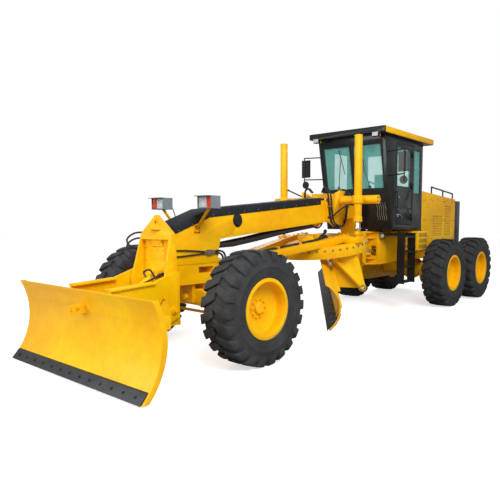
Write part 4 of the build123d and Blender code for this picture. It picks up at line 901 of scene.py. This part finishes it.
def cylinder_trim(bm):
    x, y = LIFT_X, LIFT_Y
    bar(bm, (x, y, 1.652), (x, y, 1.72), 0.071, sides=40)
    bar(bm, (x, y, 1.72), (x, y, 1.735), 0.071, 0.0625, 40)
    bar(bm, (x, y, 2.985), (x, y, 2.9995), 0.064, 0.06, 40)
    for step in range(8):
        angle = 2 * math.pi * step / 8
        bolt(bm, (x + 0.05 * math.cos(angle), y + 0.05 * math.sin(angle), GLAND_Z), (0, 0, -1), 0.007)
    tube(bm, [(x - 0.066, y, 1.72), (x - 0.092, y, 1.75), (x - 0.094, y, 1.86), (x - 0.075, y, 1.885)],
         0.009)
    tube(bm, [(x - 0.075, y, 2.1), (x - 0.08, y, 2.14), (x - 0.078, y, 2.8), (x - 0.06, y, 2.93)], 0.009)


def rod_wiper(bm):
    bar(bm, (LIFT_X, LIFT_Y, 1.64), (LIFT_X, LIFT_Y, GLAND_Z), 0.043, 0.055, 32)


both_sides("lift_cylinder_trim", cylinder_trim, YELLOW, "front_frame")
both_sides("rod_seals", rod_wiper, SEAL_RUBBER, "front_frame")
softened("lift_rods", CHROME, 0.002)

# %% [markdown]
# ## Drawbar, turning circle and moldboard
# The drawbar is a flat A-frame that tows the circle. The circle is a ring gear turned by a worm box, and
# it holds the blade by two arms. Everything here is drawn level, in the drawbar's or the blade's own
# frame, and one matrix then sets it at its slope, which is simpler than tilted numbers.

# %% The drawbar's frame and the blade's frame
BALL, DRAWBAR_DIP = (2.7, 0, 1.06), math.radians(8)
CIRCLE_BACK, BLADE_ANGLE = 2.33, math.radians(38)
DRAWBAR = Matrix.Translation(BALL) @ Matrix.Rotation(DRAWBAR_DIP, 4, "Y")
CIRCLE = DRAWBAR @ Matrix.Translation((-CIRCLE_BACK, 0, 0))
BLADE = CIRCLE @ Matrix.Rotation(BLADE_ANGLE, 4, "Z")


def placed(name, build, frame_matrix, finish, body):
    """A piece drawn in a sub-assembly's frame and moved into the machine's."""
    bm = bmesh.new()
    build(bm)
    bmesh.ops.transform(bm, matrix=frame_matrix, verts=bm.verts)
    piece(name, bm, finish, body)


TOOTH_COUNT, RING_BOLT_COUNT, RING_R = 84, 40, 0.7795
DRIVE_X, DRIVE_Z = 0.3, 0.045
TRAY_TOP = 0.055


def ring_teeth(bm):
    for step in range(TOOTH_COUNT):
        tooth = block(bm, (0.606, -0.011, -0.2), (0.645, 0.011, -0.1))
        tip = [vert for vert in tooth if vert.co.x < 0.62]
        bmesh.ops.scale(bm, vec=(1, 0.5, 1), verts=tip)
        turn = Matrix.Rotation(2 * math.pi * step / TOOTH_COUNT, 4, "Z")
        bmesh.ops.transform(bm, matrix=turn, verts=tooth)


def ring_bolts(bm):
    for step in range(RING_BOLT_COUNT):
        angle = 2 * math.pi * (step + 0.5) / RING_BOLT_COUNT
        out = Vector((math.cos(angle), math.sin(angle), 0))
        bolt(bm, out * RING_R + Vector((0, 0, -0.11)), out)


placed("circle_teeth", ring_teeth, CIRCLE, WORN_STEEL, "circle")
placed("circle_bolts", ring_bolts, CIRCLE, ZINC, "circle")


def worm_box(bm):
    bar(bm, (DRIVE_X, 0, -0.0155), (DRIVE_X, 0, 0.06), 0.17, 0.165, 40)
    bar(bm, (DRIVE_X, 0, 0.06), (DRIVE_X, 0, 0.085), 0.15, 0.13, 40)
    bar(bm, (DRIVE_X, -0.2, DRIVE_Z), (DRIVE_X, 0.2, DRIVE_Z), 0.065, sides=32)
    block(bm, (DRIVE_X - 0.08, 0.15, -0.015), (DRIVE_X + 0.08, 0.23, 0.115))
    soften(bm, 0.005, 50)
    bolt_ring(bm, (DRIVE_X, 0, 0.085), (0, 0, 1), 0.09, 8, 0.011)


def drive_motor(bm):
    bar(bm, (DRIVE_X, 0.23, DRIVE_Z), (DRIVE_X, 0.33, DRIVE_Z), 0.052, sides=32)
    bar(bm, (DRIVE_X, 0.33, DRIVE_Z), (DRIVE_X, 0.345, DRIVE_Z), 0.045, 0.036, 32)
    for x in (DRIVE_X - 0.03, DRIVE_X + 0.03):
        bar(bm, (x, 0.28, 0.09), (x, 0.28, 0.11), 0.014, sides=6)
    bolt_ring(bm, (DRIVE_X, 0.345, DRIVE_Z), (0, 1, 0), 0.034, 4, 0.006)


placed("circle_drive", worm_box, CIRCLE, YELLOW, "drawbar")
placed("circle_motor", drive_motor, CIRCLE, CAST_IRON, "drawbar")


def drawbar_hoses(bm):
    for shift in (0, 0.032):
        tube(bm, [(-0.35, 0.085 + shift, 0.074), (-0.8, 0.17 + shift, 0.074), (-1.4, 0.3 + shift, 0.074),
                  (-1.75, 0.38 + shift, 0.082), (-1.95, 0.36 + shift, 0.15), (-2.03 - shift, 0.31, 0.17),
                  (-2.05 + shift * 0.3, 0.28, 0.11)], 0.013)


def drawbar_clips(bm):
    for x, y in ((-0.55, 0.13), (-0.95, 0.215), (-1.35, 0.305)):
        block(bm, (x - 0.02, y - 0.035, 0.054), (x + 0.02, y + 0.065, 0.062))
        block(bm, (x - 0.012, y - 0.01, 0.055), (x + 0.012, y + 0.055, 0.092))
    for side in SIDES.values():
        bolt_row(bm, (-1.85, side * 0.475, TRAY_TOP), (-2.45, side * 0.475, TRAY_TOP), 6, (0, 0, 1), 0.014)
        bolt_row(bm, (-0.12, side * 0.075, TRAY_TOP), (-0.3, side * 0.11, TRAY_TOP), 2, (0, 0, 1), 0.014)


placed("drawbar_hoses", drawbar_hoses, DRAWBAR, HOSE_RUBBER, "drawbar")
placed("drawbar_clips", drawbar_clips, DRAWBAR, YELLOW, "drawbar")

# %% Moldboard edge, end bits and bolts
softened("moldboard", YELLOW, 0.003)
softened("cutting_edge", EDGE_STEEL, 0.003)
BLADE_RISE, BLADE_BOW = 0.6, 0.165
CURVE_R = (BLADE_RISE ** 2 / 4 + BLADE_BOW ** 2) / (2 * BLADE_BOW)
EDGE_Y, EDGE_Z = -0.045, -0.925
BLADE_LEFT, BLADE_RIGHT = 2.105, -1.55
TIP_Y, TIP_Z = 0.6, -0.8


def on_moldboard(rise, depth):
    """Point of the moldboard's section at a height over its edge, moved back by a depth."""
    angle = math.asin((rise - BLADE_RISE / 2) / CURVE_R)
    y = EDGE_Y + BLADE_BOW - CURVE_R + (CURVE_R + depth) * math.cos(angle)
    return (y, EDGE_Z + BLADE_RISE / 2 + (CURVE_R + depth) * math.sin(angle)), angle


def blade_bolts(bm):
    for rise in (0.06, 0.135):
        (y, z), angle = on_moldboard(rise, -0.0185)
        out = Vector((0, -math.cos(angle), -math.sin(angle)))
        bolt_row(bm, (-1.47, y, z), (2.03, y, z), 16, out, 0.011)


def end_bits(bm):
    rises = (0.0, 0.065, 0.13, 0.195)
    for x, side in ((BLADE_RIGHT, -1), (BLADE_LEFT, 1)):
        outline = [(x, *on_moldboard(rise, -0.012)[0]) for rise in rises]
        outline += [(x, *on_moldboard(rise, 0.03)[0]) for rise in reversed(rises)]
        plate(bm, outline, Vector((side * -0.02, 0, 0)))
    soften(bm, 0.003)


placed("moldboard_bolts", blade_bolts, BLADE, WORN_STEEL, "moldboard")
placed("moldboard_end_bits", end_bits, BLADE, EDGE_STEEL, "moldboard")


def tip_struts(bm):
    for side in SIDES.values():
        top, low = Vector((side * 0.528, 0.19, -0.29)), Vector((side * 0.528, 0.55, -0.735))
        bar(bm, top, low, 0.034, sides=32)
        bar(bm, top.lerp(low, 0.62), top.lerp(low, 0.66), 0.038, sides=32)
        bar(bm, low, top.lerp(low, 1.06), 0.045, 0.03, 32)
        bar(bm, (side * 0.486, 0.19, -0.29), (side * 0.57, 0.19, -0.29), 0.04, sides=32)


def tip_nuts(bm):
    for side in SIDES.values():
        bar(bm, (side * 0.506, TIP_Y, TIP_Z), (side * 0.535, TIP_Y, TIP_Z), 0.052)
        bolt_ring(bm, (side * 0.535, TIP_Y, TIP_Z), (side, 0, 0), 0.03, 3, 0.008)


placed("tip_struts", tip_struts, BLADE, YELLOW, "circle")
placed("tip_pin_caps", tip_nuts, BLADE, WORN_STEEL, "blade_carrier")

# %% [markdown]
# ## Cab
# A black shell with glass all round, and a yellow roof with a dark fascia in front. Through the glass one
# sees the seat, the steering wheel and the levers. The shell, doors and seat are CAD nodes, so only what
# is fixed to them is made here. Handles and wipers are tubes through a few points, and the roof is cut in
# two by a plane, so that each part gets its own paint.

# %% Wipers, vents and door fittings
HANDLE_X, HANDLE_Z, HINGE_X = -1.0, 1.77, -1.572
SILL_X, SILL_Z, WALL_LEAN = -0.81, 1.51, 0.32 / 1.65


def wall_x(z, reach=0.0):
    """Where the cab's leaning front wall stands at a height, with a reach in front of it."""
    return SILL_X + (z - SILL_Z) * WALL_LEAN + reach


def front_wiper(bm):
    y, low, high = 0.33, 2.28, 2.82
    middle = (low + high) / 2
    tube(bm, [(wall_x(low, 0.012), y, low), (wall_x(middle, 0.03), y - 0.06, middle),
              (wall_x(high, 0.016), y - 0.11, high)], 0.006)
    bar(bm, (wall_x(2.52, 0.014), y - 0.16, 2.52), (wall_x(2.96, 0.014), y - 0.075, 2.96), 0.006)
    bar(bm, (wall_x(low), y, low), (wall_x(low, 0.03), y, low), 0.018)


def front_ribs(bm):
    """Wavy vent ribs low on the front wall."""
    for step in range(5):
        y = 0.44 + step * 0.042
        points = []
        for rise in range(9):
            z = 1.68 + rise * 0.04
            points.append((wall_x(z, 0.004), y + 0.008 * math.sin(rise * math.pi / 2), z))
        tube(bm, points, 0.006, steps=3)


both_sides("front_wipers", front_wiper, SEAL_RUBBER, "rear_frame")
both_sides("front_wall_vents", front_ribs, ZINC, "rear_frame")


def door_handle(bm):
    bar(bm, (HANDLE_X, 0.70, HANDLE_Z), (HANDLE_X, 0.715, HANDLE_Z), 0.03)
    tube(bm, [(HANDLE_X, 0.715, HANDLE_Z), (-1.05, 0.722, 1.785), (-1.11, 0.72, 1.76), (-1.13, 0.715, 1.73)],
         0.011)
    bar(bm, (-1.01, 0.70, 2.1), (-1.01, 0.722, 2.1), 0.024, 0.02)


def door_hinges(bm):
    """Two hinge barrels with a joint ring each, and the grab bar."""
    for z in (1.72, 2.9):
        for half, radius in ((0.045, 0.017), (0.004, 0.0185)):
            bar(bm, (HINGE_X, 0.705, z - half), (HINGE_X, 0.705, z + half), radius)
    tube(bm, [(-1.50, 0.70, 1.9), (-1.50, 0.735, 1.93), (-1.50, 0.735, 2.2), (-1.50, 0.70, 2.24)], 0.01)


for side in SIDES:
    for name, build, finish in (("handle", door_handle, CHROME), ("hinges", door_hinges, BLACK)):
        bm = bmesh.new()
        build(bm)
        if side == "right":
            flipped(bm)
        piece(f"door_{name}_{side}", bm, finish, f"door_{side}")

# %% Roof, fascia and lamps
ROOF_SPLIT = (-0.372, 0, 3.2)
LAMP_X = -0.2995
bm = cut_away("cab_roof", ROOF_SPLIT, (-1, 0, 0))
soften(bm, 0.012)
piece("roof_skin", bm, YELLOW, "rear_frame", stands_for=["cab_roof"])
bm = cut_away("cab_roof", ROOF_SPLIT, (1, 0, 0))
soften(bm, 0.006)
piece("roof_fascia", bm, BLACK, "rear_frame")
bm = bmesh.new()
block(bm, (-2.285, -0.775, 3.157), (-0.375, 0.775, 3.163))
piece("roof_liner", bm, BLACK, "rear_frame")


def roof_lamp(bm):
    block(bm, (LAMP_X, 0.566, 3.098), (LAMP_X + 0.004, 0.674, 3.162))
    for step in range(4):
        y = 0.588 + step * 0.021
        bar(bm, (LAMP_X + 0.005, y, 3.103), (LAMP_X + 0.005, y, 3.157), 0.002, sides=6)


both_sides("roof_lamp_lenses", roof_lamp, LENS_CLEAR, "rear_frame")

# %% Seat seams and armrests
ARMREST_Y = 0.29
bm = bmesh.new()
for y in (-0.17, 0.0, 0.17):
    tube(bm, [(-1.40, y, 2.064), (-1.6, y, 2.066), (-1.74, y, 2.062)], 0.006)
for side in SIDES.values():
    y = side * ARMREST_Y
    block(bm, (-1.80, y - 0.035, 2.2), (-1.45, y + 0.035, 2.25))
    bar(bm, (-1.76, y, 2.0), (-1.76, y, 2.2), 0.016)
soften(bm, 0.006, 60)
piece("armrests", bm, SEAL_RUBBER, "rear_frame")

# %% Steering wheel and levers
HUB, LEAN = Vector((-1.16, 0, 2.33)), Vector((-0.45, 0, 1)).normalized()
WHEEL_R, GRIP_R, GRIP_SIDES = 0.19, 0.014, 12
TURN = LEAN.to_track_quat("Z", "Y").to_matrix()
bm = bmesh.new()
grip = [(WHEEL_R + GRIP_R * math.cos(angle), GRIP_R * math.sin(angle))
        for angle in (2 * math.pi * step / GRIP_SIDES for step in range(GRIP_SIDES))]
upright = (TURN @ Matrix.Rotation(math.pi / 2, 3, "X")).to_4x4()
bmesh.ops.transform(bm, matrix=Matrix.Translation(HUB) @ upright, verts=turned(bm, grip, 48))
for step in range(3):
    angle = 2 * math.pi * step / 3
    spoke = TURN @ Vector((0.185 * math.cos(angle), 0.185 * math.sin(angle), 0))
    bar(bm, HUB - LEAN * 0.015, HUB + spoke, 0.011)
bar(bm, HUB - LEAN * 0.03, HUB + LEAN * 0.012, 0.045, 0.038)
bar(bm, (-1.04, 0, 2.1), HUB - LEAN * 0.03, 0.022)
for side in SIDES.values():
    for step in range(4):
        y = side * (0.2 + step * 0.045)
        bar(bm, (-1.07, y, 2.2), (-1.12, y, 2.38), 0.006)
        ball(bm, (-1.122, y, 2.39), 0.016)
    block(bm, (-1.09, side * 0.27 - 0.1, 2.16), (-1.0, side * 0.27 + 0.1, 2.21))
piece("steering_and_levers", bm, SEAL_RUBBER, "rear_frame")

# %% [markdown]
# ## Mirrors
# Every mirror keeps its plastic back, and the bright face is a thin pane on the side that looks back. A
# block is enough for it, because only its face is seen.

# %% Mirror faces
def mirror_faces(bm):
    block(bm, (-0.5665, 0.955, 2.515), (-0.5635, 1.115, 2.815))
    bar(bm, (-0.5625, 1.04, 2.36), (-0.5655, 1.04, 2.36), 0.06)


both_sides("mirror_faces", mirror_faces, MIRROR, "rear_frame")

# %% [markdown]
# ## Engine hood
# Sheet-steel panels hang on hinges and are held by latches. The two recessed air panels on each side have
# slats over a dark sheet, which is painted shade for the gaps between the slats. A picture of slats would
# look flat from the side, so each slat is a small wedge, and a loop sets out as many as fit the panel.

# %% Slats of the air panels
HOOD_SIDE = 0.56
SLAT_BACK, SLAT_FRONT, SLAT_PITCH = 0.5545, 0.5595, 0.036
AIR_PANELS = ((-3.36, -2.89, 1.36, 1.79), (-3.84, -3.515, 1.36, 2.01))


def air_slats(bm):
    for back, front, low, high in AIR_PANELS:
        x, count = back + 0.012, int((high - low - 0.02) / SLAT_PITCH)
        for step in range(count):
            z = low + 0.015 + (step + 0.5) * (high - low - 0.03) / count
            plate(bm, [(x, SLAT_BACK, z - SLAT_PITCH * 0.38), (x, SLAT_FRONT, z - SLAT_PITCH * 0.28),
                       (x, SLAT_BACK, z + SLAT_PITCH * 0.22)], Vector((front - back - 0.024, 0, 0)))


# A thin dark sheet under the slats of each panel: painted shade for the gaps between them.
def air_gap_painted_shade(bm):
    for back, front, low, high in AIR_PANELS:
        block(bm, (back + 0.004, 0.5525, low + 0.004), (front - 0.004, 0.5542, high - 0.004))


both_sides("air_panel_slats", air_slats, YELLOW, "rear_frame")
both_sides("air_panel_painted_shade", air_gap_painted_shade, CAST_IRON, "rear_frame")


# %% Screws, latches and hinges of the hood
HINGE_Z = 2.145


def panel_screws(bm):
    for x in (-2.16, -2.40, -2.48, -2.84, -3.41, -3.47, -3.89, -4.03):
        for z in (1.30, 1.70, 2.10):
            bolt(bm, (x, HOOD_SIDE, z), (0, 1, 0), 0.009)


def hood_latches(bm):
    for x, z in ((-2.62, 1.42), (-2.62, 2.0), (-3.2, 2.0), (-3.93, 1.6)):
        block(bm, (x - 0.028, HOOD_SIDE, z - 0.05), (x + 0.028, HOOD_SIDE + 0.006, z + 0.05))
        bar(bm, (x, HOOD_SIDE + 0.006, z + 0.018), (x, HOOD_SIDE + 0.016, z + 0.018), 0.016)
        block(bm, (x - 0.009, HOOD_SIDE + 0.006, z - 0.036), (x + 0.009, HOOD_SIDE + 0.014, z + 0.02))
    soften(bm, 0.002, 60)


def hood_hinges(bm):
    for x in (-2.25, -2.75, -3.05, -3.60, -3.95):
        for half, radius in ((0.04, 0.011), (0.004, 0.0125)):
            bar(bm, (x - half, HOOD_SIDE + 0.003, HINGE_Z), (x + half, HOOD_SIDE + 0.003, HINGE_Z), radius)


both_sides("hood_screws", panel_screws, ZINC, "rear_frame")
both_sides("hood_latches", hood_latches, YELLOW, "rear_frame")
both_sides("hood_hinges", hood_hinges, YELLOW, "rear_frame")

# %% [markdown]
# ## Guard, rails and rear end
# Slots in the side boxes let heat out ahead of the rear wheels. The guard behind the radiator has a mesh,
# rails keep a climber's hands off the hot hood, and lamps sit on the rear beam. Slots and wires repeat
# many times, so each is a bar with few sides. The slots are not cut: each is a dark bar on the box side,
# painted shade for the opening.

# %% Slots in the side boxes, as dark bars of painted shade
BOX_SIDE, BOX_FRONT, SLOT_PITCH = 0.797, -1.683, 0.04


# Dark bars on the box sides: painted shade where the slots open, as no hole is cut.
def dark_slot_shade(bm):
    for row in range(3):
        z = 1.185 + row * 0.11
        places = [(-2.04 + step * SLOT_PITCH, BOX_SIDE) for step in range(9)]
        places += [(BOX_FRONT, 0.50 + step * SLOT_PITCH) for step in range(7)]
        for x, y in places:
            bar(bm, (x, y, z - 0.04), (x, y, z + 0.04), 0.009, sides=8)


both_sides("side_box_painted_slot_shade", dark_slot_shade, CAST_IRON, "rear_frame")

# %% Rail feet and caps on the hood
HOOD_FRONT_X, HOOD_FRONT_Z, HOOD_SLOPE = -2.08, 2.29, 0.06


def hood_height(x):
    """Height of the hood's top, which falls towards the rear."""
    return HOOD_FRONT_Z + (x - HOOD_FRONT_X) * HOOD_SLOPE


def rail_feet(bm):
    for x in (-2.9, -3.5, -4.05):
        z = hood_height(x)
        bar(bm, (x, 0.5, z), (x, 0.5, z + 0.006), 0.035)
        bar(bm, (x, 0.5, z + 0.006), (x, 0.5, z + 0.02), 0.02)


both_sides("rail_feet", rail_feet, BLACK, "rear_frame")
bm = bmesh.new()
for x in (-2.3, -3.2):
    z = hood_height(x)
    bar(bm, (x, 0, z - 0.002), (x, 0, z + 0.03), 0.055)
    bar(bm, (x, 0, z + 0.03), (x, 0, z + 0.042), 0.045, 0.035)
for x in (-2.6, -3.0, -3.4, -3.8):
    for side in SIDES.values():
        bolt(bm, (x, side * 0.3, hood_height(x)), (0, 0, 1), 0.01)
piece("hood_caps", bm, CAST_IRON, "rear_frame")

# %% Radiator mesh and guard bolts
WIRE_R, UPRIGHT_X, CROSS_X = 0.004, -4.374, -4.369
UPRIGHTS, CROSS_WIRES = 22, 20
bm = bmesh.new()
for step in range(UPRIGHTS):
    y = -0.4 + step * 0.8 / (UPRIGHTS - 1)
    bar(bm, (UPRIGHT_X, y, 1.26), (UPRIGHT_X, y, 2.05), WIRE_R, sides=6)
for step in range(CROSS_WIRES):
    z = 1.28 + step * 0.75 / (CROSS_WIRES - 1)
    bar(bm, (CROSS_X, -0.42, z), (CROSS_X, 0.42, z), WIRE_R, sides=6)
piece("radiator_mesh", bm, CAST_IRON, "rear_frame")
bm = bmesh.new()
for side in SIDES.values():
    for z in (1.22, 1.65, 2.09):
        bolt(bm, (-4.42, side * 0.48, z), (-1, 0, 0), 0.013)
piece("guard_bolts", bm, ZINC, "rear_frame")

# %% Rear lamps
for name, finish, low, high, edge in (
        ("housings", BLACK, (-4.725, 0.62, 0.915), (-4.70, 0.86, 1.045), 0.005),
        ("red", LENS_RED, (-4.731, 0.63, 0.925), (-4.724, 0.735, 1.035), 0.003),
        ("amber", LENS_ORANGE, (-4.731, 0.745, 0.925), (-4.724, 0.85, 1.035), 0.003)):
    bm = bmesh.new()
    block(bm, low, high)
    soften(bm, edge)
    mirrored(bm)
    piece(f"tail_lamp_{name}", bm, finish, "rear_frame")

# %% Work lamps under the cab
BELLY_Y, BELLY_Z = 0.461, 1.396


def belly_bar(bm, back, front, radius, end_radius):
    bar(bm, (back, BELLY_Y, BELLY_Z), (front, BELLY_Y, BELLY_Z), radius, end_radius)


def belly_lamp(bm):
    belly_bar(bm, -0.93, -0.885, 0.042, 0.046)
    belly_bar(bm, -0.95, -0.93, 0.03, 0.042)


both_sides("belly_lamps", belly_lamp, ZINC, "rear_frame")
both_sides("belly_lamp_lenses", lambda bm: belly_bar(bm, -0.886, -0.878, 0.04, 0.03), LENS_CLEAR,
           "rear_frame")

# %% [markdown]
# ## Steps and fillers
# The ladder's treads have raised studs so that boots grip, and each side box has a filler cap with a
# ribbed top. A stud is a low cone, set out in rows by a loop, so that its pitch is easy to change.

# %% Step grips and filler caps
TREADS_Z = (0.585, 0.855, 1.125, 1.395)
STUD_PITCH, ROW_PITCH = 0.058, 0.045
bm = bmesh.new()
for z in TREADS_Z:
    for row in range(3):
        for step in range(7):
            x, y = -1.29 + step * STUD_PITCH, 0.79 + row * ROW_PITCH
            bar(bm, (x, y, z - 0.001), (x, y, z + 0.004), 0.013, 0.009, 12)
piece("step_grips", bm, BLACK, "rear_frame")
CAP = Vector((-1.87, 0.72, 1.48))


def fuel_cap(bm):
    bar(bm, CAP, CAP + Vector((0, 0, 0.02)), 0.05)
    bar(bm, CAP + Vector((0, 0, 0.02)), CAP + Vector((0, 0, 0.045)), 0.042, 0.036)
    top = CAP + Vector((0, 0, 0.046))
    for step in range(6):
        angle = math.pi * step / 3
        bar(bm, top, top + 0.034 * Vector((math.cos(angle), math.sin(angle), 0)), 0.004)


both_sides("fuel_caps", fuel_cap, CAST_IRON, "rear_frame")

# %% [markdown]
# ## Floor, light and camera
# Large soft lamps on both sides and a bright sky keep the paint near its chart colour. The camera stands
# at the front left, at about the height of a grown-up's eye and close to the machine. The sky is brighter
# to the camera than to the machine, so that the backdrop is white and the paint isn't washed out.

# %% Floor and backdrop
def lit_backdrop(name, tone, glow):
    """Pale floor that shows near white to the camera, keeps shadows and throws little light back."""
    floor = Finish(name)
    seen = floor.node("ShaderNodeLightPath", out="Is Camera Ray")
    floor.surface(
        Base_Color=floor.mixed(seen, opaque(rgb(170, 170, 170)), opaque(tone)), Roughness=0.9,
        Emission_Color=floor.mixed(seen, (0, 0, 0, 1), (1, 1, 1, 1)), Emission_Strength=glow)
    return floor.material


bm = bmesh.new()
bmesh.ops.create_grid(bm, x_segments=1, y_segments=1, size=60)
floor_mesh = bpy.data.meshes.new("floor")
bm.to_mesh(floor_mesh)
bm.free()
floor_mesh.materials.append(lit_backdrop("floor_paper", rgb(235, 235, 236), 0.62))
floor = bpy.data.objects.new("floor", floor_mesh)
scene.collection.objects.link(floor)

# %% Sky
world = bpy.data.worlds.new("soft_sky")
scene.world = world
world.use_nodes = True
tree = world.node_tree
sky = tree.nodes["Background"]
sky.inputs["Color"].default_value = (1, 1, 1, 1)
path = tree.nodes.new("ShaderNodeLightPath")
seen = tree.nodes.new("ShaderNodeMath")
seen.operation = "MAXIMUM"
tree.links.new(path.outputs["Is Camera Ray"], seen.inputs[0])
tree.links.new(path.outputs["Is Transmission Ray"], seen.inputs[1])
level = tree.nodes.new("ShaderNodeMapRange")
level.inputs["To Min"].default_value = 0.44
level.inputs["To Max"].default_value = 1.0
tree.links.new(seen.outputs[0], level.inputs["Value"])
tree.links.new(level.outputs["Result"], sky.inputs["Strength"])

# %% Lamps
def soft_lamp(name, place, target, size, watts):
    data = bpy.data.lights.new(name, "AREA")
    data.size, data.energy = size, watts
    lamp = bpy.data.objects.new(name, data)
    lamp.location = place
    lamp.rotation_euler = (Vector(target) - Vector(place)).to_track_quat("-Z", "Y").to_euler()
    scene.collection.objects.link(lamp)


soft_lamp("key", (7, 9, 9), (0, 0, 1), 6, 1400)
soft_lamp("front_fill", (12, -3, 5), (1, 0, 1), 6, 560)
soft_lamp("back_fill", (-9, -8, 7), (-1, 0, 1), 6, 420)

# %% Camera
EYE = Vector((7.346, 5.039, 1.625))
HEADING, NOD, TILT = (math.radians(angle) for angle in (218.79, -4.97, -0.13))
SENSOR_MM, LENS_MM, SHIFT = 36, 36.56, (-0.0898, 0.0346)
camera_data = bpy.data.cameras.new("camera")
camera_data.sensor_width, camera_data.lens = SENSOR_MM, LENS_MM
camera_data.shift_x, camera_data.shift_y = SHIFT
camera = bpy.data.objects.new("camera", camera_data)
look = Vector((math.cos(NOD) * math.cos(HEADING), math.cos(NOD) * math.sin(HEADING), math.sin(NOD)))
camera.matrix_world = (Matrix.Translation(EYE) @ look.to_track_quat("-Z", "Y").to_matrix().to_4x4()
                       @ Matrix.Rotation(-TILT, 4, "Z"))
scene.collection.objects.link(camera)
scene.camera = camera
scene.view_settings.view_transform = "Standard"
print("camera at", tuple(EYE))
